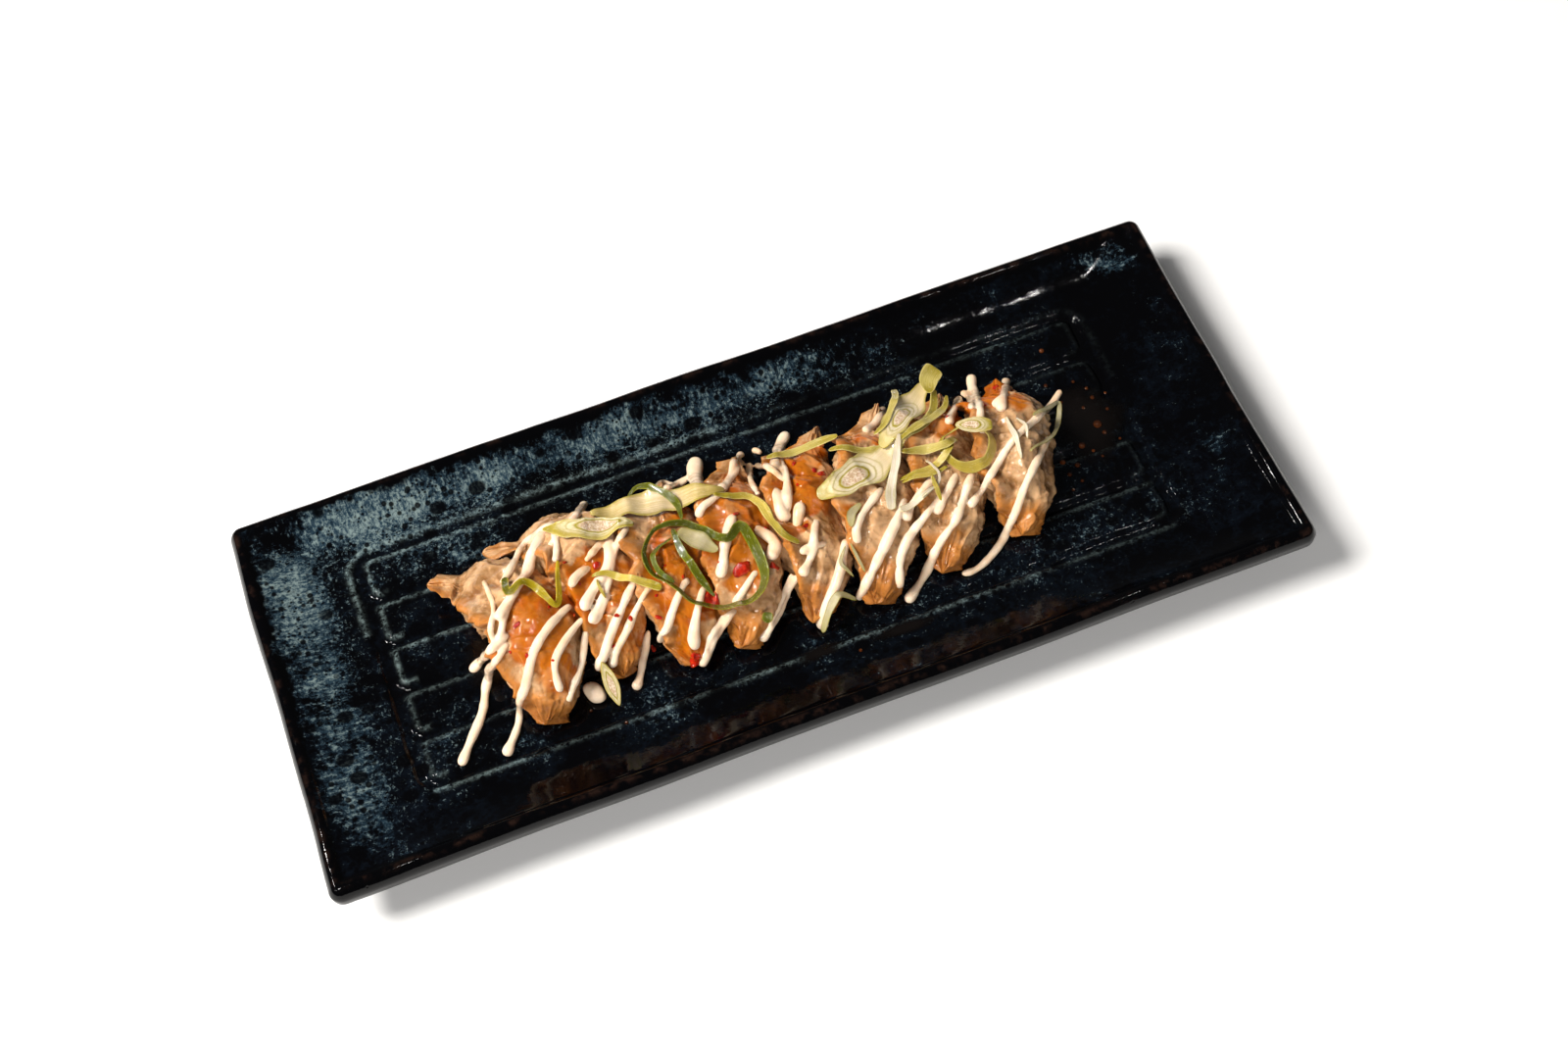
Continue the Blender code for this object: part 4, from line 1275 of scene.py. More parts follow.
    def folds(self, along: Array, turn: Array, full: Array) -> Array:
        """The pleats that run down from the seam, the crease at their foot, and draped folds.

        Args:
            along: Share of the length.
            turn: Angle from the seam.
            full: How full the section is.

        Returns:
            Lifts off the surface.
        """
        slant = along * self.pleats + 0.7 * np.abs(turn) + 0.9 * self.swing(along, turn * 0.8, 5, 17)
        count = np.floor(slant)
        wave = slant - count
        fold = np.where(wave < 0.72, wave / 0.72, (1 - wave) / 0.28)
        size = 0.35 + 1.1 * ((count * 0.618 + self.order * 0.37) % 1)
        fade = ease(np.abs(turn), 0.12, 0.34) * (1 - ease(np.abs(turn), 0.6, 1.7))
        crease = bell(np.abs(turn), 0.36, 0.12) * (0.6 + 0.8 * self.swing(along, 6.5, 7, 18))
        drape = 1 - np.abs(self.swing(along + turn * 0.06, turn * 1.1, 4.5, 19)) * 2.4
        tuck = 1 - np.abs(self.swing(along - turn * 0.09, turn * 1.7, 9, 20)) * 2.6
        lift = 1.5 * np.clip(drape, 0, 1) ** 1.6 + 0.85 * np.clip(tuck, 0, 1) ** 1.6
        return full * (1.1 * size * (fold - 0.5) * fade - 0.8 * crease + lift)

    def relief(self, base: Array, along: Array, turn: Array, full: Array) -> Array:
        """Lumps of filling, wrinkles and blisters.

        Args:
            base: Places in millimetres.
            along: Share of the length.
            turn: Angle from the seam.
            full: How full the section is.

        Returns:
            Lifts off the surface.
        """
        seed = 31 * self.order
        lumps = 1.15 * Grain.smooth(base / 6.5, seed) + 0.5 * Grain.smooth(base / 3.1, seed + 1)
        across = turn * 4.5 + Grain.smooth(base / 7, seed + 6)
        stretched = np.column_stack([along * 9, across, base[:, 2] / 9])
        wrinkle = 1 - np.abs(Grain.smooth(stretched, seed + 2)) * 2
        warped = base / 2.4 + Grain.smooth(base / 4, seed + 8)[:, None]
        crumple = 1 - np.abs(Grain.smooth(warped, seed + 7)) * 2
        fine = Grain.layered(base / 1.5, seed + 3, 2)
        patch = ease(Grain.smooth(base / 8, seed + 5), -0.1, 0.3)
        blisters = Grain.bubbles(base / 2.6, seed + 4, 0.48) * patch
        creased = 0.36 + 0.3 * (1 - full)
        sharp = 0.4 * np.clip(crumple, 0, 1) ** 2
        tip = np.maximum(1 - ease(along, 0.03, 0.26), 0.7 * ease(along, 0.8, 0.97))
        pinched = 1.1 * Grain.smooth(base / 3.3, seed + 9) - 1.1 * bell(turn, -0.9, 0.3)
        lift = tip * pinched + full * lumps + creased * wrinkle + sharp + 0.12 * fine
        return lift + 0.6 * blisters * (0.6 + 0.4 * full)

    def seen(self, base: Array) -> Array:
        """Where the camera sees each point, on the reading level."""
        share = (READ_LEVEL - base[:, 2]) / (base[:, 2] - EYE[2])
        return base[:, :2] + (base[:, :2] - EYE[:2]) * share[:, None]

    def glazed(self, base: Array) -> Array:
        """How much glaze lies on each point.

        Args:
            base: Places in millimetres.

        Returns:
            Values from 0 to 1.
        """
        spot = self.seen(base)
        total = np.zeros(len(base))
        for x, y, wide, deep, strength in self.glaze:
            off = ((spot[:, 0] - x) / wide) ** 2 + ((spot[:, 1] - y) / deep) ** 2
            total = np.maximum(total, strength * np.exp(-off))
        ragged = total + 0.28 * Grain.layered(base / 5, self.order * 7 + 90) * (total > 0.02)
        return ease(ragged, 0.22, 0.62) * np.clip(total * 1.4, 0, 1) * ease(base[:, 2], 18, 25)

    def browned(self, along: Array, turn: Array, base: Array) -> Array:
        """How browned each point is: the tips, the seam's edge and the foot that lay in the pan.

        Args:
            along: Share of the length.
            turn: Angle from the seam.
            base: Places in millimetres.

        Returns:
            Values from 0 to 1.
        """
        tip = 1 - ease(along, 0.02, 0.2)
        tail = ease(along, 0.86, 1.0)
        fin = 0.75 * bell(turn, 0, 0.16)
        foot = 0.6 * (1 - ease(base[:, 2], 17, 22))
        spots = 0.3 * Grain.layered(base / 6, self.order + 60)
        return np.clip(np.maximum.reduce([tip, 0.22 * tail, fin, foot]) + spots, 0, 1)

    def build(self, material: Material) -> Piece:
        """Builds the dumpling.

        Args:
            material: The wrapper's material.

        Returns:
            The dumpling.
        """
        bm = ball(self.around, self.along)
        points, masks = self.shape(spots_in(bm))
        mesh = mesh_from(bm, "dumpling_" + self.name[-1], points)
        for name, values in masks.items():
            paint(mesh, name, values)
        return add_piece(mesh, material, [self.name])


DUMPLINGS = (
    Dumpling("gyoza_1", 0, ((-85, -37), (-78.5, -17), (-83, 4), (-105, 20)), (11.8, 11.2), 48, (5, 9),
        ((-77, -8, 13, 17, 1.0), (-76, -25, 8, 12, 0.75), (-92, -14, 5, 6, 0.6)), 0.5, tip_lean=0,
        ragged=(0.045, 0.012)),
    Dumpling("gyoza_2", 1, ((-58, -31), (-54, -10), (-57, 11), (-85, 25)), (9.4, 12), 40, (5.4, 8),
        ((-56, -2, 14, 15, 0.95), (-52, -20, 10, 10, 0.85), (-66, 9, 9, 6, 0.5)), 0.5, tip_lean=0,
        ragged=(0.045, 0.012)),
    Dumpling("gyoza_3", 2, ((-36, -35), (-32.5, -14), (-30.5, 7), (-25, 26)), (10, 10.5), 40, (4, 11),
        ((-31, -10, 12, 20, 1.0), (-36, -33, 7, 9, 0.95), (-24, 14, 10, 10, 0.6)), 0.4),
    Dumpling("gyoza_4", 3, ((-20.5, -35), (-10, -15), (-7.5, 6), (0, 25.5)), (10, 10.4), 42, (4, 11),
        ((-9, 0, 13, 16, 1.0), (-13, -17, 9, 8, 0.7), (-4, 14, 8, 8, 0.7)), 0.7),
    Dumpling("gyoza_5", 4, ((3.5, -35), (12.5, -15), (16, 5), (28.5, 26.5)), (9.6, 10.6), 38, (4.4, 11),
        ((14, 6, 10, 12, 1.0), (18, 17, 11, 8, 0.95), (10, -6, 9, 6, 0.6)), 0.8),
    Dumpling("gyoza_6", 5, ((24, -36), (34.5, -15), (39.5, 5), (49.5, 26)), (10, 10.6), 41, (4.4, 11),
        ((40, 14, 11, 12, 0.55), (27, -8, 7, 6, 0.45)), 0.8),
    Dumpling("gyoza_7", 6, ((47.5, -34), (58.5, -14), (63.5, 5), (70.5, 24)), (10.2, 10.6), 43, (4, 10),
        ((66, 13, 10, 10, 0.7),), 0.9),
    Dumpling("gyoza_8", 7, ((76, -31), (82.5, -13), (86, 5), (90, 22)), (10.4, 10.8), 45, (4, 9),
        ((83, 17, 12, 8, 0.9), (94, 12, 8, 8, 0.6)), 1.0),
)


# ---- places of the toppings


@dataclass
class Relief:
    """The height of the food on a square mesh of points, with its narrow gaps bridged.

    It keeps a search tree of each piece that something may lie on.
    """

    step: float = 0.75
    half_length: float = 130.0
    half_depth: float = 60.0
    bridged: int = 4
    start_above: float = 30.0
    fall_step: float = 0.25
    most_steps: int = 200
    heights: Array = field(default_factory=lambda: np.zeros((2, 2)))
    trees: list[BVHTree] = field(default_factory=list)

    def measure(self, pieces: Sequence[Piece]) -> None:
        """Reads the heights of pieces below a level sky.

        Args:
            pieces: What lies there first.
        """
        self.trees = [tree_of(piece) for piece in pieces]
        columns = int(2 * self.half_length / self.step) + 1
        rows = int(2 * self.half_depth / self.step) + 1
        self.heights = np.full((columns, rows), PANEL_TOP)
        for i in range(columns):
            for j in range(rows):
                x, y = i * self.step - self.half_length, j * self.step - self.half_depth
                self.heights[i, j] = self.top(x, y)

    def top(self, x: float, y: float) -> float:
        """Finds the highest surface at a place.

        Args:
            x: Place along.
            y: Place across.

        Returns:
            Its height, or the panel's, in millimetres.
        """
        best = PANEL_TOP
        start = Vector((x * MM, y * MM, SKY * MM))
        for tree in self.trees:
            hit = tree.ray_cast(start, Vector((0, 0, -1)))[0]
            if hit is not None:
                best = max(best, hit.z / MM)
        return best

    def bridge(self) -> None:
        """Fills the gaps that are narrower than the bridged width."""
        for pick in (np.maximum, np.minimum):
            for _ in range(self.bridged):
                grown = self.heights.copy()
                for shift, axis in ((1, 0), (-1, 0), (1, 1), (-1, 1)):
                    grown = pick(grown, np.roll(self.heights, shift, axis))
                self.heights = grown

    def height(self, x: Array, y: Array) -> Array:
        """The height at each place, between the points around it.

        Args:
            x: Places along.
            y: Places across.

        Returns:
            The heights.
        """
        u = np.clip((x + self.half_length) / self.step, 0, self.heights.shape[0] - 1.001)
        v = np.clip((y + self.half_depth) / self.step, 0, self.heights.shape[1] - 1.001)
        i, j = u.astype(int), v.astype(int)
        left = blend(self.heights[i, j], self.heights[i, j + 1], v - j)
        right = blend(self.heights[i + 1, j], self.heights[i + 1, j + 1], v - j)
        return blend(left, right, u - i)

    def seen(self, places: Array, level: Optional[float] = None) -> Array:
        """Follows sight lines down to the food.

        Args:
            places: Places on the reading level.
            level: A level to stop at instead of the food.

        Returns:
            The points in space.
        """
        aim = np.column_stack([places, np.full(len(places), READ_LEVEL)])
        down = (aim - EYE) / (EYE[2] - READ_LEVEL)
        if level is not None:
            return aim + down * (READ_LEVEL - level)
        points = aim - down * self.start_above
        falling = np.ones(len(points), bool)
        for _ in range(self.most_steps):
            falling &= (points[:, 2] > PANEL_TOP) & (points[:, 2] > self.height(points[:, 0], points[:, 1]))
            points[falling] += down[falling] * self.fall_step
        return points


# ---- drizzle


@dataclass
class Drizzle:
    """The zigzag of thick sauce over the row, as three joined pieces."""

    strands: tuple
    radius: float = 1.42
    sink: float = 0.5
    step: float = 0.8
    flatness: float = 0.8
    bulb: float = 0.2
    thin: float = 0.82
    voxel: float = 0.38
    lead: float = 5.0
    around: int = 16
    cuts: Place = (-45.0, 12.0)

    def centre(self, relief: Relief, places: tuple, radius: float) -> Array:
        """A strand's middle line, half sunk in the food and hanging across narrow gaps.

        Args:
            relief: The food's heights.
            places: The line's places as seen.
            radius: The strand's thickness.

        Returns:
            The line's points.
        """
        given = np.array(places, float)
        back = given[0] - given[1]
        if relief.seen(given[:1])[0, 2] > PANEL_TOP + 4:
            given = np.vstack([given[0] + back / np.hypot(*back) * self.lead, given])
        spots = relief.seen(even_line(smooth_line(given), self.step))
        spots = relaxed(spots, 5)
        spots[:, 2] = np.maximum(spots[:, 2], relief.height(spots[:, 0], spots[:, 1]))
        over_food = ease(spots[:, 2], PANEL_TOP + 0.5, PANEL_TOP + 4)
        spots[:, 2] += radius * blend(0.62, self.sink * 0.7, over_food)
        run = np.arange(len(spots)) * self.step
        spots[:, 2] -= 1.6 * radius * np.exp(-run / 2.2) * over_food
        return even_line(relaxed(spots, 2), self.step)

    def strand(self, line: Array, share: float, order: int) -> Mesh:
        """One strand: uneven, drawn out where it starts, and full at its end if it is thick.

        Args:
            line: Its middle line.
            share: Its thickness as a share of the usual one.
            order: Its number, for its unevenness.

        Returns:
            The strand's mesh.
        """
        radius = self.radius * share
        over_food = float(line[0, 2] > PANEL_TOP + 4)
        length = self.step * (len(line) - 1)
        bulb = self.bulb if share > self.thin else -0.25
        bm = ball(self.around, max(self.around, round(length * 1.6)))
        polar, angle = spread(spots_in(bm))
        share_along = blend(polar, ease(polar), min(0.8, 3 / length))
        run = share_along * length
        spot = along_line(line, share_along)
        before, after = (along_line(line, np.clip(share_along + off, 0, 1)) for off in (-0.03, 0.03))
        ahead = (after - before) * (1, 1, 0.6)
        ahead /= np.linalg.norm(ahead, axis=1, keepdims=True) + TINY
        across = np.cross(ahead, (0, 0, 1))
        across /= np.linalg.norm(across, axis=1, keepdims=True) + TINY
        up = np.cross(across, ahead)
        wide = 1 + 0.22 * Grain.row(run / 5.5, 0, order, 3) + 0.08 * Grain.row(run / 2.1, 7, order, 4)
        wide = wide - 0.3 * np.exp(-run / 3) * over_food
        wide = wide + bulb * bell(length - run, 1.7 * radius, 1.5 * radius)
        end = np.clip(np.minimum(run, length - run) / (radius * 1.2), 0, 1)
        thick = radius * wide * np.sqrt(1 - (1 - end) ** 2)
        out = across * (thick * np.cos(angle))[:, None]
        out += up * (self.flatness * thick * np.sin(angle))[:, None]
        return mesh_from(bm, f"strand_{order}", spot + out)

    def build(self, relief: Relief, material: Material) -> list[Piece]:
        """Builds the three pieces of drizzle.

        Args:
            relief: The food's heights.
            material: The sauce's material.

        Returns:
            The pieces, from left to right.
        """
        groups: dict[str, list[Mesh]] = {"left": [], "middle": [], "right": []}
        stains: list[tuple[Array, float]] = []
        for order, (places, share, stain) in enumerate(self.strands):
            middle = sum(x for x, _ in places) / len(places)
            name = "left" if middle < self.cuts[0] else "middle" if middle < self.cuts[1] else "right"
            line = self.centre(relief, places, self.radius * share)
            stains += [(spot, stain + 0.5 * max(0.0, 1 - i * self.step / 9)) for i, spot in enumerate(line)]
            groups[name].append(self.strand(line, share, order))
        return [self.joined("drizzle_" + name, meshes, stains, material) for name, meshes in groups.items()]

    def joined(self, name: str, meshes: list[Mesh], stains: list[tuple[Array, float]],
               material: Material) -> Piece:
        """Melts strands into one closed skin.

        Args:
            name: The piece's name.
            meshes: The strands.
            stains: Points of their middle lines, each with its stain.
            material: The sauce's material.

        Returns:
            The piece.
        """
        bm = bmesh.new()
        for mesh in meshes:
            bm.from_mesh(mesh)
            bpy.data.meshes.remove(mesh)
        rough = bpy.data.meshes.new(name + "_rough")
        bm.to_mesh(rough)
        bm.free()
        helper = bpy.data.objects.new(name + "_rough", rough)
        bpy.context.scene.collection.objects.link(helper)
        remesh = helper.modifiers.new("melt", "REMESH")
        remesh.mode = "VOXEL"
        remesh.voxel_size = self.voxel * MM
        evened = helper.modifiers.new("even", "SMOOTH")
        evened.factor = 0.5
        evened.iterations = 3
        melted = bpy.data.meshes.new_from_object(helper.evaluated_get(bpy.context.evaluated_depsgraph_get()))
        bpy.data.objects.remove(helper)
        bpy.data.meshes.remove(rough)
        melted.name = name
        melted.shade_smooth()
        spots = points_of(melted) / MM
        nearby = KDTree(len(stains))
        for i, (spot, _) in enumerate(stains):
            nearby.insert(Vector(spot), i)
        nearby.balance()
        stain = np.array([stains[nearby.find(Vector(spot))[1]][1] for spot in spots])
        cloudy = 0.4 * Grain.layered(spots / 7, 44) * ease(spots[:, 2], 18, 24)
        paint(melted, "stain", np.clip(stain + cloudy, 0, 1))
        return add_piece(melted, material)


DRIZZLE = Drizzle((
    (((-91, -9), (-97, -13), (-102, -16)), 1.1, 0.1),
    (((-91, -13), (-98, -21), (-102, -30), (-109, -39), (-113.5, -45)), 1.05, 0.1),
    (((-70, -7), (-76, -11), (-82, -17), (-87, -26), (-91, -32), (-93, -38), (-100, -47)), 1, 0.1),
    (((-67, -13), (-72, -17), (-77, -23), (-78, -33)), 0.95, 0.1),
    (((-66, -19), (-69, -26), (-73, -31), (-77, -37)), 0.85, 0.1),
    (((-66, 24), (-73, 21.5), (-78, 16), (-84, 10)), 0.8, 0.1),
    (((-68, 21), (-72.5, 16), (-75, 11), (-79, 8), (-84, 3), (-89, -2)), 1.15, 0.1),
    (((-63, 22), (-63.5, 17), (-66, 11)), 0.8, 0.1),
    (((-62, 20), (-58, 22), (-54, 25), (-50.5, 28)), 1, 0.1),
    (((-48, 11), (-51, 3), (-58, -3), (-63, -8)), 1.1, 0.1),
    (((-43.5, 12), (-48, 7), (-53, -3), (-58, -9), (-62.5, -14)), 1, 0.1),
    (((-47, -7), (-52, -13), (-57.5, -19.5), (-62.5, -27), (-65, -30)), 1, 0.1),
    (((-43.5, -10.5), (-48, -15), (-53, -21), (-58, -26), (-61, -31)), 0.9, 0.1),
    (((-48, -26), (-51, -32), (-55, -39), (-57, -40.5)), 1.05, 0.1),
    (((-32, -13), (-37, -19), (-41, -25), (-44, -28)), 1.05, 0.1),
    (((-27.5, -18), (-31, -24), (-34, -30), (-35, -35)), 1.15, 0.1),
    (((-22, -28), (-28, -33), (-32, -37), (-35.5, -40.5)), 1.05, 0.1),
    (((-11, -18), (-15.5, -22), (-19, -25)), 1, 0.1),
    (((0, -25), (-4, -29), (-8, -34), (-12, -37), (-15.5, -39.5)), 1, 0.1),
    (((-15, 20), (-14, 26), (-11.5, 30)), 1.4, 0.1),
    (((-12, 24), (-18, 24), (-24.5, 23)), 0.9, 0.1),
    (((-3, 20), (-9, 15), (-16, 12.5), (-19, 9)), 0.85, 0.1),
    (((-10, 3), (-14.5, -4), (-17, -10), (-20, -14)), 1.15, 0.1),
    (((12, 20), (15.5, 25), (19, 28)), 1.35, 0.1),
    (((3.5, 22), (1.5, 17), (2, 10)), 0.8, 0.1),
    (((13, 19), (12.5, 12), (10, 5), (7, 0)), 1, 0.1),
    (((14, -9), (10, -17), (4, -23)), 1, 0.1),
    (((20, -19), (16, -26), (12, -31), (7, -37), (3, -43)), 1.15, 0.1),
    (((36, -5), (30.5, -9), (26, -14), (25, -19)), 1, 0.1),
    (((42, -12), (38, -17), (32, -23), (26, -29), (21, -34), (18, -37)), 1.05, 0.1),
    (((53.5, -14), (46, -19), (40, -23), (35, -29), (32, -36), (30.5, -39)), 1.05, 0.1),
    (((66, -11), (61, -17), (56, -23), (49, -28), (44, -33), (39, -38), (31, -44)), 1.05, 0.1),
    (((61, -9), (56, -14), (51, -18)), 1, 0.1),
    (((107, 9.5), (101, 5), (94, 2), (87, -1), (81, -5), (75, -10), (69, -15), (62, -20)), 0.85, 0.1),
    (((93, -8), (87, -14), (81, -20), (76, -26), (71, -31), (67, -35), (61, -39), (55, -41.5), (50.5, -41)),
        0.9, 0.1),
    (((78, 8), (80.5, 15), (80.5, 21), (82.5, 26)), 1, 0.2),
    (((92, 20), (90, 15), (84, 12)), 0.9, 0.1),
    (((51, 25), (47, 21), (42, 19)), 0.9, 0.1),
    # Thin, stained strands that cross the glaze.
    (((-67.4, 23.2), (-64.8, 24.4), (-62.1, 23.7), (-58.3, 23.9)), 0.75, 0.3),
    (((-50.9, 12.1), (-54.3, 9.6), (-57.1, 7.7)), 0.75, 0.6),
    (((-59.7, 4.5), (-61.8, 3.6), (-64.3, 0.4)), 1.05, 0.4),
    (((-57.6, -2.8), (-61.1, -6.9), (-63.3, -8.5)), 1.1, 0.35),
    (((-56.1, -8.5), (-59.2, -12.3), (-62, -14.1)), 0.95, 0.35),
    (((-88.7, 9.4), (-88.4, 4.2), (-90.3, -0.9), (-92.3, -5.1), (-91.8, -9.5)), 0.7, 0.45),
    (((-82.8, 3.2), (-86.3, -0.9), (-88.8, -5.7), (-91.2, -9.8)), 0.9, 0.45),
    (((-27.9, 24.5), (-24.8, 26.6), (-22.8, 23.6), (-19.2, 23), (-15.4, 25.2)), 0.78, 0.2),
    (((2.6, 26.4), (-0.9, 24.7), (-3.1, 21.1), (-6.5, 17.6), (-9, 15.9)), 0.85, 0.25),
    (((5.6, 26.1), (7.5, 26), (8.2, 23.7)), 0.8, 0.1),
    (((5.4, 20.3), (8.9, 17.5), (11.1, 13), (12.7, 8.3)), 0.8, 0.65),
    (((12.7, 18.7), (12, 14), (12.2, 8.5)), 0.7, 0.6),
    (((-1.3, -4), (1.1, -8.5), (-0.8, -11.6), (-3.1, -13.7)), 1.3, 0.35),
    (((-0.8, -24), (-6.4, -31), (-11.2, -35.7)), 0.75, 0.15),
    (((-24.3, -28.3), (-29.5, -32.5), (-32.7, -36.9)), 0.8, 0.1),
    (((56.1, -5.3), (51.3, -8.7), (45.6, -12.2), (41.6, -16.9)), 0.95, 0.15),
    (((76.5, 21.2), (78.8, 18.1), (77.4, 14)), 0.85, 0.4),
    (((71.9, 15.8), (69.6, 13.5), (68.3, 11.3)), 0.9, 0.35),
    (((92.2, 19.4), (88.8, 14.4), (85.4, 9.3)), 1.0, 0.3),
    (((7.2, 6), (6.5, 0.9), (7.6, -2.9)), 1.2, 0.3),
    (((11.4, -1.6), (13.7, 2.3)), 1.1, 0.4),
    (((11.6, -14.2), (8.3, -14.2), (6.9, -15.6)), 0.9, 0.2),
))


@dataclass
class DrizzleDrop:
    """The drop of sauce that lies on the plate by itself."""

    seen_at: Place = (-68.5, -37.5)
    size: Spot = (3.0, 3.8, 2.6)
    lean: float = 0.25
    base: float = 0.7
    parts: tuple[int, int] = (48, 32)

    def build(self, relief: Relief, material: Material) -> Piece:
        """Builds the drop, with a flat foot and its top pulled to one side.

        Args:
            relief: The food's heights.
            material: The sauce's material.

        Returns:
            The drop.
        """
        spot = relief.seen(np.array([self.seen_at]))[0]
        length, width, height = self.size
        bm = ball(*self.parts)
        unit = spots_in(bm)
        x, y, z = unit.T
        z = np.maximum(z, -self.base) + self.base
        lumpy = 1 + 0.1 * Grain.smooth(unit * 1.6, 12)
        flat_x = (x * length - y * self.lean * width) * lumpy
        places = np.column_stack([flat_x + spot[0], y * width * lumpy + spot[1], FOOD_REST + z * height])
        mesh = mesh_from(bm, "drizzle_blob", places)
        paint(mesh, "stain", np.zeros(len(unit)))
        return add_piece(mesh, material, ["drizzle_drop"])


# ---- spring onion


class Cut(Enum):
    """How a piece of onion was cut, which sets its colours from its start to its end and at its edges. On
    the pale cuts the edge tone is the green rim of the leaf; on the green cuts it is lighter, a painted
    highlight along the edges.
    """

    GREEN = ((70, 74, 4), (84, 88, 6), (72, 78, 4), (130, 128, 24))
    GREEN_TO_LIME = ((78, 80, 5), (150, 130, 12), (180, 152, 26), (188, 164, 48))
    LIME = ((156, 138, 30), (194, 170, 82), (160, 142, 34), (200, 180, 104))
    OLIVE = ((146, 128, 38), (194, 176, 102), (156, 138, 46), (208, 190, 124))
    CREAM = ((190, 171, 104), (218, 198, 170), (206, 184, 134), (150, 134, 20))
    PALE = ((198, 174, 112), (220, 196, 162), (198, 172, 94), (160, 140, 28))
    WHITE = ((222, 206, 188), (228, 212, 198), (216, 202, 184), (200, 188, 150))
    CLEAR = ((182, 170, 122), (200, 188, 156), (186, 174, 124), (160, 148, 66))

    @property
    def tones(self) -> Array:
        """The four linear colours."""
        return np.array([srgb(*tone) for tone in self.value])


@dataclass
class Onion:
    """One piece of spring onion: a cupped strip along its middle line, or a ring of it.

    An added piece is in the scene only. Each other one stands for the CAD node of its name.
    """

    name: str
    line: tuple
    widths: Spot
    tilts: Place
    cut: Cut
    closed: bool = False
    level: Optional[float] = None
    core: Optional[tuple[float, float, float, float]] = None
    clear: float = 0.0
    added: bool = False
    thickness: float = 0.5
    cup: float = 0.2
    clearance: float = 0.16
    step: float = 1.2
    slope: float = 0.7
    press_from: float = 40.5
    press_share: float = 0.32
    feelers: tuple = (-1.15, -0.6, 0, 0.6, 1.15)
    below_level: float = 2.0
    darker_below: float = 0.82
    unit_of_map: float = 10.0

    def width(self, share: Array) -> Array:
        """The half width at each share of the length."""
        ends = np.where(share < 0.5, self.widths[0], self.widths[2])
        return (ends + (self.widths[1] - ends) * np.sin(math.pi * share)) / 2

    def frame(self, line: Array) -> Array:
        """The level direction across the line at each of its points.

        Args:
            line: The middle line, seen from above.

        Returns:
            Directions of length 1.
        """
        if self.closed:
            ring = line[:-1]
            ahead = np.roll(ring, -1, 0) - np.roll(ring, 1, 0)
            ahead = np.concatenate([ahead, ahead[:1]])
        else:
            ahead = np.gradient(line, axis=0)
        across = np.stack([-ahead[:, 1], ahead[:, 0]], axis=1)
        return across / (np.linalg.norm(across, axis=1, keepdims=True) + TINY)

    def heights(self, line: Array, relief: Relief) -> Array:
        """The height of each point of the middle line, so that the piece clears what it lies on.

        Args:
            line: The middle line, seen from above.
            relief: What it may lie on.

        Returns:
            The heights.
        """
        count = len(line) - 1
        share = np.linspace(0, 1, count + 1)
        half = np.full(count + 1, self.widths[1] / 2) if self.closed else self.width(share)
        tilt = np.radians(blend(self.tilts[0], self.tilts[1], share))
        across = self.frame(line)
        needed = np.zeros(count + 1)
        for i, point in enumerate(line):
            forward = np.array([across[i, 1], -across[i, 0]])
            best = PANEL_TOP
            for q in self.feelers:
                for ahead in (-0.5, 0, 0.5):
                    spot = point + across[i] * q * half[i] * math.cos(tilt[i]) + forward * ahead * self.step
                    best = max(best, relief.top(*spot) - q * half[i] * math.sin(tilt[i]))
            needed[i] = max(best + self.clearance, (self.level or 0) - self.below_level)
        steepest = self.slope * self.step
        for _ in range(count):
            if self.closed:
                ring = needed[:-1]
                ring = np.maximum.reduce([ring, np.roll(ring, 1) - steepest, np.roll(ring, -1) - steepest])
                needed = np.append(ring, ring[0])
            else:
                needed[1:] = np.maximum(needed[1:], needed[:-1] - steepest)
                needed[:-1] = np.maximum(needed[:-1], needed[1:] - steepest)
        return np.maximum(needed, relaxed(needed, 4, self.closed))

    def colours(self, share: Array, q: Array, under: Array, spots: Array) -> Array:
        """The tint of each point.

        Args:
            share: How far along it is.
            q: How far across, from -1 to 1.
            under: 1 on the underside, 0 on top.
            spots: Its place in millimetres.

        Returns:
            Linear colours.
        """
        start, middle, end, edge = self.cut.tones
        first = ease(share, 0, 0.5)[:, None]
        second = ease(share, 0.5, 1)[:, None]
        tint = start + (middle - start) * first + (end - middle) * second
        # Towards the edges the tint turns to the edge tone: a green rim on pale cuts, and a painted
        # highlight on green ones.
        rim = ease(np.abs(q), 0.62, 0.98)[:, None]
        tint = tint + (edge - tint) * rim * 0.8
        patch = Grain.layered(spots / 4, 21)[:, None]
        tint = tint * (1 + 0.16 * patch)
        return np.clip(blend(tint, tint * self.darker_below, under[:, None]), 0, 1)

    def section(self, unit: Array, length: float) -> tuple[Array, Array, Array]:
        """Reads the points of a sphere or hoop as those of the piece.

        Args:
            unit: The points.
            length: The piece's length.

        Returns:
            Each one's share of the length, its angle round the piece, and the half width there.
        """
        if self.closed:
            share = (np.arctan2(unit[:, 1], unit[:, 0]) / math.tau) % 1
            angle = np.arctan2(unit[:, 2], np.hypot(unit[:, 0], unit[:, 1]) - HOOP_RADIUS)
            uneven = 1 + 0.42 * np.cos(math.tau * (share - 0.4)) + 0.12 * np.sin(math.tau * share * 4)
            return share, angle, self.widths[1] / 2 * uneven
        polar, angle = spread(unit)
        share = blend(polar, ease(polar), 0.35)
        blunt = np.clip(np.minimum(share, 1 - share) * length / 1.2, 0, 1)
        half = self.width(share) * np.sqrt(1 - (1 - blunt) ** 2)
        return share, angle, half * (1 + 0.16 * Grain.row(share * length / 4, 0, 0, 9))

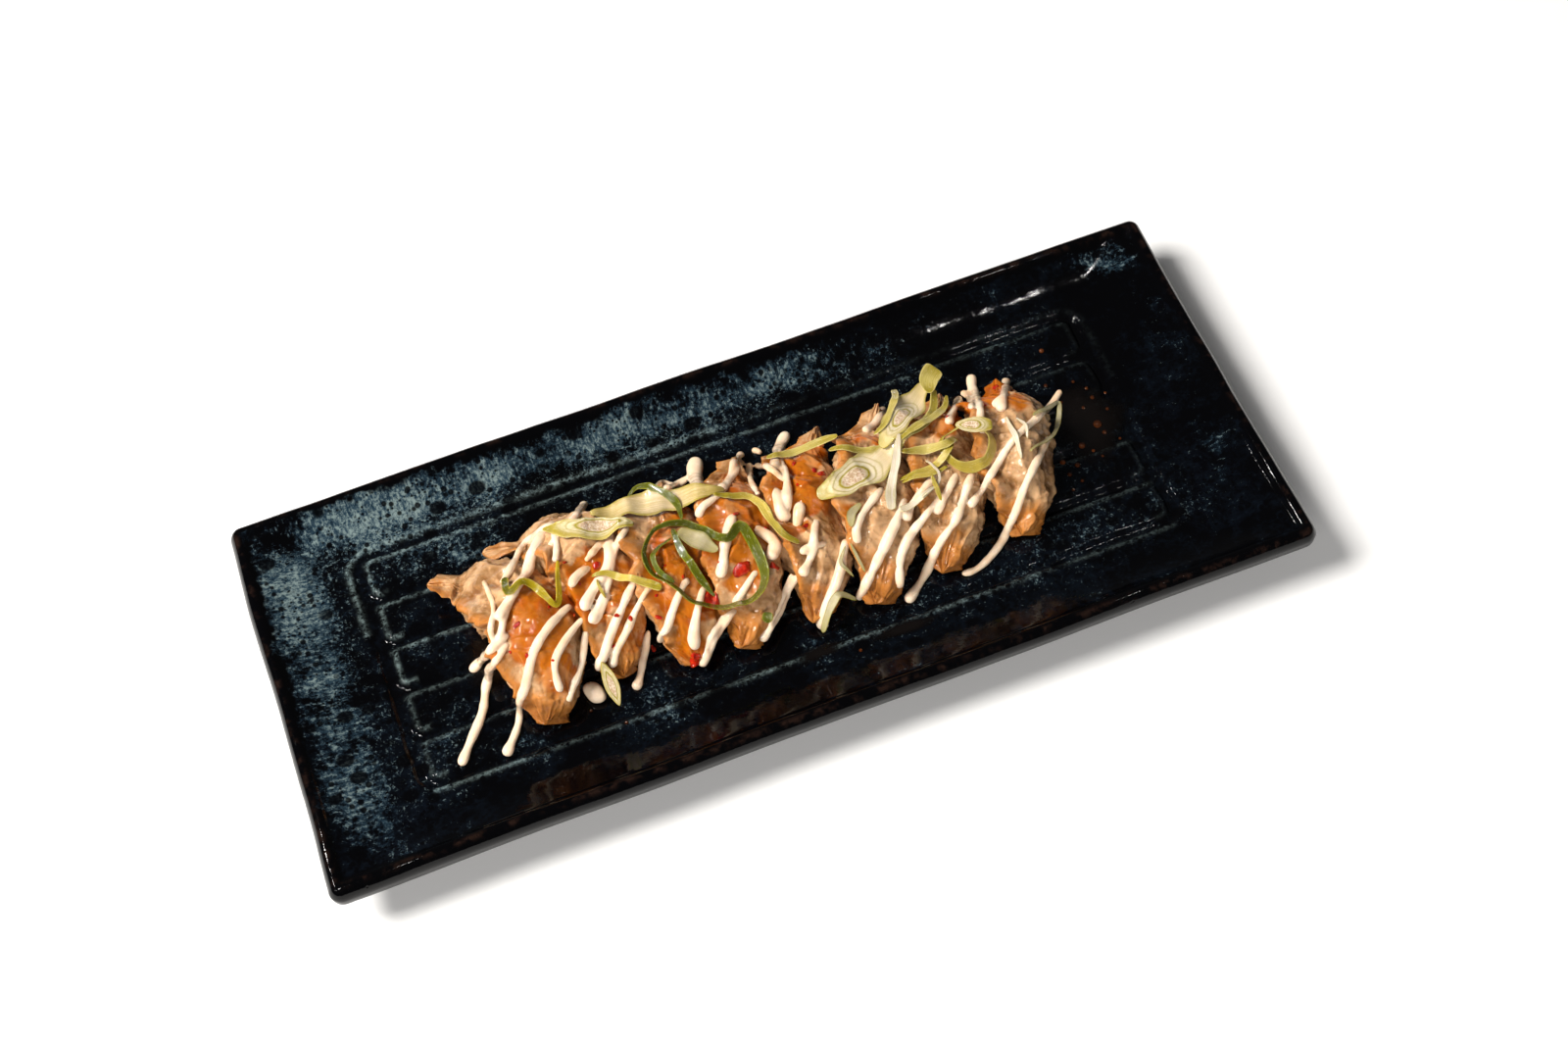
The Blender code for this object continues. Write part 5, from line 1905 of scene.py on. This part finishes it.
    def build(self, relief: Relief, material: Material) -> None:
        """Builds the piece where it is seen.

        Args:
            relief: What it may lie on.
            material: The onion's material.
        """
        spots = relief.seen(np.array(self.line, float), self.level)[:, :2]
        line = even_line(smooth_line(spots, self.closed), self.step)
        path = np.column_stack([line, self.heights(line, relief)])
        length = self.step * (len(line) - 1)
        around = 40 if max(self.widths) > 5 else 20
        steps = max(24, round(length * (2.4 if self.core else 1.4)))
        bm = hoop(around, steps) if self.closed else ball(around, steps)
        share, angle, half = self.section(spots_in(bm), length)
        q = np.sign(np.cos(angle)) * np.abs(np.cos(angle)) ** 0.7
        lift = np.sign(np.sin(angle)) * np.abs(np.sin(angle)) ** 0.8 * self.thickness / 2
        tilt = np.radians(blend(self.tilts[0], self.tilts[1], share))
        middle = along_line(path, share)
        side = along_line(self.frame(line), share)
        flat = middle[:, :2] + side * (q * half * np.cos(tilt) - lift * np.sin(tilt))[:, None]
        bent = self.cup * half * (q * q - 0.3) + self.layers(share, q, angle)
        z = middle[:, 2] + q * half * np.sin(tilt) + (lift + bent) * np.cos(tilt) + self.thickness / 2
        placed = np.column_stack([flat, z])
        mesh = mesh_from(bm, "spring_onion_" + self.name, placed)
        paint(mesh, "tint", self.colours(share, q, (np.sin(angle) < -0.2).astype(float), placed))
        paint(mesh, "oval", self.oval(share, q))
        paint(mesh, "clear", np.full(len(q), self.clear))
        unwrap(mesh, np.column_stack([share * length, q * half]) / self.unit_of_map)
        piece = add_piece(mesh, material, [] if self.added else ["onion_" + self.name])
        relief.trees.append(tree_of(piece))
        self.press(mesh)

    def press(self, mesh: Mesh) -> None:
        """Presses down what stands above the food, for all pieces alike, so that none goes through another.

        Args:
            mesh: The piece's mesh.
        """
        points = points_of(mesh)
        over = np.clip(points[:, 2] - self.press_from * MM, 0, None)
        points[:, 2] -= over * (1 - self.press_share)
        mesh.vertices.foreach_set("co", points.astype(np.float32).ravel())
        mesh.update()

    def oval(self, share: Array, q: Array) -> Array:
        """How far each point is from the middle of the cut's rings.

        Args:
            share: How far along it is.
            q: How far across, from -1 to 1.

        Returns:
            1 on the innermost ring, and 9 all over a strip.
        """
        if not self.core:
            return np.full(len(q), 9.0)
        middle_share, middle_q, long, wide = self.core
        return np.hypot((share - middle_share) / long, (q - middle_q) / wide)

    def layers(self, share: Array, q: Array, angle: Array) -> Array:
        """The steps between the leaf's layers where the cut shows them.

        Args:
            share: How far along each point is.
            q: How far across, from -1 to 1.
            angle: Its angle round the piece.

        Returns:
            Lifts in millimetres.
        """
        off = self.oval(share, q)
        step = 0.22 * bell(off, 1, 0.12) - 0.25 * bell(off, 1.22, 0.09)
        return step * (np.sin(angle) > 0)


ONIONS = (
    Onion("slice_left", ((-66.2, 23.6), (-61.1, 19.5), (-53.1, 16.3), (-44.3, 14.8), (-38.5, 13.4)),
        (1, 7.6, 2), (8, 0), Cut.LIME, level=35, core=(0.62, 0.28, 0.23, 0.52), clear=0.1, thickness=0.65),
    Onion("slice_pale", ((-50.5, 22.5), (-40, 21), (-28, 18.6), (-16.4, 15.2), (-7.5, 14.2)), (2, 8.6, 1.5),
        (0, 0), Cut.PALE, level=34, clear=0.14, thickness=0.6),
    Onion("curl_left", ((-82.5, 11), (-83, 5.5), (-78, 7), (-74.5, 4), (-71, -4), (-69, -3), (-66.5, 5),
        (-65, 11)), (2.6, 2.4, 1.4), (10, 50), Cut.GREEN_TO_LIME),
    Onion("strip_left", ((-57, 1.5), (-51.5, -0.5), (-47, -5), (-37.5, -10.5)), (1, 2.6, 2.6), (20, 0),
        Cut.LIME),
    Onion("loop", ((-28.2, 10), (-23, 7.9), (-18.4, 3.8), (-14.5, -2), (-12.1, -2.7), (-7.6, 0.9),
        (-6, -5.6), (-5.7, -13.9), (-6.7, -19.9), (-10.6, -25.1), (-17.2, -26.9), (-24.9, -24.9),
        (-30.4, -19.6), (-34.7, -10.7), (-38.5, -5.7), (-39.4, 0.7), (-37.6, 5.6), (-33.3, 9.5)),
        (2, 2.8, 2), (40, 40), Cut.GREEN, closed=True),
    Onion("loop_inner", ((-27.8, 8.1), (-27.8, -0.6), (-25.9, -10), (-23.3, -19.8)), (1.6, 2.8, 0.8),
        (30, 10), Cut.GREEN),
    Onion("loop_upper", ((-38.4, 19.9), (-34.3, 20.9), (-29.8, 20.7), (-25.5, 17.9), (-23.7, 13.4),
        (-24, 8.8)), (0.8, 2.6, 1.4), (0, 35), Cut.GREEN),
    Onion("loop_second", ((-29.1, 4.4), (-34.1, 3.5), (-36.9, 0.1), (-36.3, -6.6), (-33.4, -11.4)),
        (1, 2.2, 1), (40, 30), Cut.GREEN, added=True),
    Onion("loop_skin", ((-26.5, 5.5), (-22.1, -0.3), (-17, -5.5)), (3, 6, 2), (0, 0), Cut.CLEAR, clear=0.55,
        added=True),
    Onion("strip_middle", ((-11.7, 14.3), (-6.4, 12.1), (-1.1, 10), (1.4, 5.4), (2.7, -2.2), (4.4, -7.7),
        (8.1, -11.9)), (1.4, 2.8, 1.6), (10, 0), Cut.LIME),
    Onion("strip_far", ((9, 22), (18, 21.5), (27, 22), (33, 19.5)), (1.4, 3, 2), (0, 0), Cut.OLIVE,
        level=34),
    Onion("strip_long", ((29, 18), (36, 14.3), (46, 11.5), (54, 11.5), (61, 14.5), (66.5, 20), (69.5, 27)),
        (1.6, 3, 2.6), (0, 25), Cut.OLIVE, level=37),
    Onion("slice_big", ((19, 2.2), (26.9, 3.4), (33.6, 4.1), (41.7, 5.6), (51, 8.6)), (4, 11.2, 3), (10, 0),
        Cut.CREAM, core=(0.385, -0.05, 0.15, 0.55), clear=0.12, thickness=0.65),
    Onion("slice_far", ((44.8, 11.3), (48.9, 14.6), (55.4, 20), (61.6, 24.7), (67.5, 30)), (3, 9.6, 3),
        (0, 10), Cut.CREAM, level=38, core=(0.42, -0.1, 0.15, 0.4), clear=0.12, thickness=0.6),
    Onion("blade_far", ((57.1, 31.7), (56, 26.9), (52.1, 21.4), (48.1, 16.9), (43.6, 15)), (2.2, 2.4, 1),
        (0, 30), Cut.OLIVE, level=37),
    Onion("flake", ((67.8, 26), (69.4, 31), (73.4, 34.6)), (2.6, 6.2, 6.4), (0, 20), Cut.OLIVE, level=40),
    Onion("ring", ((63.2, 5.7), (62.9, -0.1), (64.7, -4.9), (68.7, -7.5), (73.7, -6.6), (77.7, -2.3),
        (78.1, 1.6), (74.3, 5.7), (68.8, 6.9)), (3, 2.8, 3), (48, 48), Cut.LIME, closed=True, clear=0.25),
    Onion("slice_right", ((69, 8), (74, 7), (80.5, 4)), (2, 5.6, 4.4), (0, 0), Cut.LIME,
        core=(0.4, 0, 0.26, 0.6), thickness=0.65),
    Onion("strip_under", ((45.4, -2.1), (53.8, -2.6), (62.1, 0), (66, 3)), (1, 2.8, 1.6), (0, 0), Cut.LIME),
    Onion("strip_bundle", ((45.6, -4.1), (55.3, -5.1), (61.8, -3.2)), (0.8, 1.8, 1), (0, 0), Cut.LIME,
        added=True),
    Onion("strip_across", ((49, 5), (57.4, 4.6), (63.6, 3.2), (68, 4.4)), (1.4, 3.6, 2), (0, 0), Cut.OLIVE,
        clear=0.2, added=True),
    Onion("strip_side", ((72.4, 23.3), (70.1, 19.1), (63.9, 14.7), (56.3, 11.8), (49.7, 9.3)),
        (1.2, 2.8, 1.4), (0, 20), Cut.OLIVE, level=36, added=True),
    Onion("shred_stem", ((50, 9), (46, 2), (41.5, -5), (39, -12)), (1.2, 3, 3.4), (0, 0), Cut.WHITE,
        clear=0.15),
    Onion("shred_branch", ((41, -13.5), (49, -12.5), (57, -8.5)), (3, 1.8, 0.8), (0, 0), Cut.WHITE,
        clear=0.3),
    Onion("shred_short", ((31, -6), (27, -8), (25, -13)), (1.6, 3, 1.2), (0, 0), Cut.CLEAR, clear=0.4),
    Onion("thread_right", ((94, 3), (99, 2.5), (100.5, -2), (97, -6.5), (88, -8.5)), (1.2, 1.7, 0.8),
        (30, 10), Cut.CLEAR, clear=0.6),
    Onion("shred_right", ((86.5, 7), (86, -1), (84.6, -10)), (0.8, 1.9, 0.8), (20, 20), Cut.WHITE),
    Onion("thread_low", ((89.2, 5.4), (90.5, 0.8), (89.4, -3.5)), (0.6, 1.1, 0.6), (20, 20), Cut.WHITE,
        clear=0.3, added=True),
    Onion("thread_curved", ((56, 1.7), (57.7, -5.9), (54.9, -10.2), (48.7, -13)), (0.7, 0.9, 0.7), (0, 0),
        Cut.WHITE, clear=0.2, added=True),
    Onion("shred_green", ((55.2, -5.9), (54.4, -11.4), (54.1, -16.4)), (1, 1.6, 0.9), (0, 0), Cut.LIME,
        added=True),
    Onion("thread_near", ((22.6, -17.9), (22.6, -24.4), (22.9, -30.1)), (0.6, 1.1, 0.6), (0, 0), Cut.CLEAR,
        clear=0.4, added=True),
    Onion("thread_fork", ((20.7, -18.8), (17, -24), (17.5, -29.8), (17.5, -34.6)), (0.6, 1.3, 0.6), (0, 0),
        Cut.CLEAR, clear=0.5, added=True),
    Onion("thread_left", ((-55.7, -0.8), (-55.8, -4), (-55.1, -7.8)), (0.8, 1.1, 0.5), (0, 0), Cut.LIME,
        clear=0.3, added=True),
    Onion("leaf", ((-63.5, -31), (-63.2, -38.5), (-62.8, -46)), (1, 4.4, 1), (0, 0), Cut.LIME,
        core=(0.55, 0, 0.3, 0.5)),
    Onion("bit", ((-10, -31.5), (-11, -34), (-12, -36.5)), (3.4, 3.6, 2.4), (0, 0), Cut.GREEN),
    Onion("curl_near", ((16, -41), (11, -39), (6, -42.5), (2.5, -46.5)), (1.4, 2.8, 1.6), (10, 0),
        Cut.CLEAR, clear=0.5),
)


# ---- chilli and thin sauce


@dataclass
class Chilli:
    """Chopped chilli in the glaze: soft globs and flakes, each with its place as seen and its radius."""

    clearance: float = 0.1
    reach: float = 1.5
    globs: tuple = ((-12, -13.5, 2.4), (-24.5, -20, 2.4), (-36.2, -37.5, 1.6), (-2.1, -15.8, 1.3))
    flakes: tuple = (
        (-83.7, -5.2, 1.01), (-84, -17, 0.72), (-54.1, 5.2, 1.15), (-53.8, -14.7, 0.79),
        (-50.2, -17.2, 0.86), (-63.1, 10.4, 0.65), (-88.5, -13.6, 0.5), (-72.4, -3.2, 0.43),
        (-41.8, -19.6, 0.86), (-46.8, -29.3, 0.86), (-7, 6.2, 0.94), (0.2, -1.7, 0.86), (16.7, 16.7, 0.94),
        (23.6, 9.8, 1.3), (22, 12, 0.86), (12, -6, 0.86), (-34.2, -2.7, 0.58), (-30, -9, 0.5),
        (-18, -9, 0.58), (-66, -8, 0.43), (-58, -24, 0.5), (82, 14, 0.72), (68.7, 13.7, 0.72),
        (88, 19, 0.86), (15, 9, 0.58), (-40, -12, 0.5), (-77, -22, 0.5), (-61, 1, 0.43),
    )

    def build(self, relief: Relief, material: Material) -> None:
        """Lays the globs and the flakes where they are seen.

        Args:
            relief: What they lie on.
            material: The chilli's material.
        """
        kinds = (("chilli_globs", self.globs, 0.5, 3), ("chilli_flakes", self.flakes, 0.4, 2))
        for name, bits, thickness, fineness in kinds:
            bm = bmesh.new()
            spots = relief.seen(np.array([bit[:2] for bit in bits], float))
            for order, (spot, (_, _, radius)) in enumerate(zip(spots, bits)):
                made = bmesh.ops.create_icosphere(bm, subdivisions=fineness, radius=1)["verts"]
                unit = np.array([vertex.co[:] for vertex in made])
                rough = radius * (1 + 0.35 * Grain.smooth(unit * 1.3 + order * 3.7, 5))
                turn = order * 1.9
                x = unit[:, 0] * rough * 1.25
                y = unit[:, 1] * rough * 0.8
                z = unit[:, 2] * radius * thickness
                flat_x = x * math.cos(turn) - y * math.sin(turn) + spot[0]
                flat_y = x * math.sin(turn) + y * math.cos(turn) + spot[1]
                for vertex, px, py, pz in zip(made, flat_x, flat_y, z):
                    ground = min(max(relief.top(px, py), spot[2] - self.reach), spot[2] + self.reach)
                    vertex.co = Vector((px, py, ground + pz + self.clearance))
            add_piece(mesh_from(bm, name, spots_in(bm)), material)


@dataclass
class SauceSpots:
    """The dark sauce that ran out on the plate, and its drops."""

    puddles: tuple = ((113, 2, 13, 19), (-96, -8, 9, 12), (2, -44, 9, 3), (30, -46, 12, 2.6))
    drops: tuple = (
        (116.5, -0.3, 1.5), (108.4, -5.8, 1.2), (119.3, 9.9, 0.8), (114.9, 7.3, 0.7), (111.4, 33.3, 0.9),
        (100, -9.2, 1.0), (100.2, -14.3, 0.8), (117.3, -4, 0.8), (122, 4, 0.6), (119, 14, 0.6),
        (104, -12, 0.9), (111, -9, 0.6), (113, -12, 0.5), (107, 20, 0.7), (121, -8, 0.5), (103, -18, 0.6),
        (-62, -44, 0.6), (14, -48, 0.6), (-71, -36, 0.6), (109, 12, 0.6), (124, 10, 0.5), (116, 18, 0.6),
        (99, -20, 0.6),
    )
    film: float = 0.32
    apart: float = 10.0
    puddle_parts: tuple[int, int] = (96, 24)
    drop_parts: tuple[int, int] = (18, 12)

    def build(self, material: Material) -> None:
        """Builds the ragged puddles and the drops.

        Args:
            material: The sauce's material.
        """
        bm = bmesh.new()
        around, along = self.puddle_parts
        for order in range(len(self.puddles)):
            made = bmesh.ops.create_uvsphere(bm, u_segments=around, v_segments=along, radius=1)["verts"]
            bmesh.ops.translate(bm, verts=made, vec=(order * self.apart, 0, 0))
        unit = spots_in(bm)
        order = np.rint(unit[:, 0] / self.apart).astype(int)
        off = unit[:, 0] - order * self.apart
        out = np.hypot(off, unit[:, 1])
        angle = np.arctan2(unit[:, 1], off)
        ring = np.column_stack([np.cos(angle), np.sin(angle), order * 5.0])
        ragged = 0.26 * Grain.smooth(ring * (1.7, 1.7, 1), 61) + 0.14 * Grain.smooth(ring * (5, 5, 1), 62)
        reach = out ** 0.8 * (1 + ragged * out ** 1.5)
        x, y, wide, deep = np.array(self.puddles, float)[order].T
        z = PANEL_TOP + np.where(unit[:, 2] > 0, 0.04 + self.film * unit[:, 2], 0.02)
        places = [x + wide * reach * np.cos(angle), y + deep * reach * np.sin(angle), z]
        mesh = mesh_from(bm, "sauce_puddles", np.column_stack(places))
        paint(mesh, "lift", np.zeros(len(unit)))
        paint(mesh, "depth", 1 - out)
        add_piece(mesh, material)
        bm = bmesh.new()
        around, along = self.drop_parts
        for x, y, radius in self.drops:
            made = bmesh.ops.create_uvsphere(bm, u_segments=around, v_segments=along, radius=1)["verts"]
            for vertex in made:
                height = PANEL_TOP + 0.05 + radius * 0.75 * max(vertex.co.z, -0.2)
                vertex.co = Vector((x + radius * vertex.co.x, y + radius * vertex.co.y, height + 0.1))
        mesh = mesh_from(bm, "sauce_drops", spots_in(bm))
        paint(mesh, "lift", np.ones(len(mesh.vertices)))
        paint(mesh, "depth", np.full(len(mesh.vertices), 2.0))
        add_piece(mesh, material)


# ---- studio


@dataclass(frozen=True)
class Lamp:
    """A square soft light that points at the plate."""

    name: str
    at: Spot
    size: float
    watts: float
    colour: Colour
    glints: bool = True

    def build(self) -> None:
        """Adds it: with glints only for reflections, and otherwise only as light that falls on things."""
        light = bpy.data.lights.new(self.name, "AREA")
        light.size = self.size
        light.energy = self.watts
        light.color = self.colour
        holder = bpy.data.objects.new(self.name, light)
        holder.location = self.at
        holder.rotation_euler = (-Vector(self.at)).to_track_quat("-Z", "Y").to_euler()
        holder.visible_glossy = self.glints
        holder.visible_diffuse = not self.glints
        bpy.context.scene.collection.objects.link(holder)


LAMPS = (
    Lamp("key", (-0.85, 0.28, 1.1), 0.6, 37.0, (1.0, 0.97, 0.93), False),
    Lamp("fill", (-0.5, -1.1, 0.7), 1.1, 14.5, (1.0, 0.98, 0.96), False),
    Lamp("gloss", (-0.38, 0.22, 1.2), 0.055, 2.2, (1.0, 0.98, 0.95)),
    Lamp("sheen", (-0.75, -0.05, 0.95), 0.06, 4.4, (1.0, 0.98, 0.95)),
    Lamp("glimmer", (-0.5, 0.38, 1.0), 0.045, 2.4, (1.0, 0.98, 0.95)),
    Lamp("sparkle", (0.44, -0.1, 1.24), 0.022, 0.6, (1.0, 0.97, 0.94)),
)


@dataclass
class Studio:
    """The pale table, the lights and the camera."""

    table_half: float = 4.0
    camera_turn: Spot = (29.665, 2.914, -20.575)
    lens: float = 50.0
    sensor: float = 36.0
    sky: float = 0.07

    def build(self) -> None:
        """Builds the whole studio."""
        bm = bmesh.new()
        bmesh.ops.create_grid(bm, x_segments=4, y_segments=4, size=self.table_half)
        mesh = bpy.data.meshes.new("table_top")
        bm.to_mesh(mesh)
        bm.free()
        mesh.materials.append(PaleFloor().material())
        floor = bpy.data.objects.new("table_top", mesh)
        bpy.context.scene.collection.objects.link(floor)
        for lamp in LAMPS:
            lamp.build()
        world = bpy.data.worlds.new("studio_sky")
        world.use_nodes = True
        shade = world.node_tree.nodes["Background"]
        shade.inputs["Color"].default_value = (1, 1, 1, 1)
        shade.inputs["Strength"].default_value = self.sky
        bpy.context.scene.world = world
        bpy.context.scene.view_settings.view_transform = "Standard"
        camera = bpy.data.cameras.new("camera")
        camera.lens = self.lens
        camera.sensor_width = self.sensor
        holder = bpy.data.objects.new("camera", camera)
        holder.location = EYE * MM
        holder.rotation_euler = tuple(math.radians(value) for value in self.camera_turn)
        bpy.context.scene.collection.objects.link(holder)
        bpy.context.scene.camera = holder


def main() -> None:
    """Builds every piece in order."""
    logging.basicConfig(level=logging.INFO, format="%(name)s %(message)s")
    Studio().build()
    plate = Plate().build(StonewareGlaze())
    wrapper = FriedWrapper().material()
    cream = CreamyDrizzle().material()
    onion = OnionSkin().material()
    chilli = ChilliSkin().material()
    relief = Relief()
    relief.measure([dumpling.build(wrapper) for dumpling in DUMPLINGS])
    relief.bridge()
    relief.trees += [tree_of(piece) for piece in DRIZZLE.build(relief, cream)]
    relief.trees.append(tree_of(DrizzleDrop().build(relief, cream)))
    Chilli().build(relief, chilli)
    relief.trees.append(tree_of(plate))
    for piece in ONIONS:
        piece.build(relief, onion)
    SauceSpots().build(AmberSauce().material())


if __name__ == "__main__":
    main()
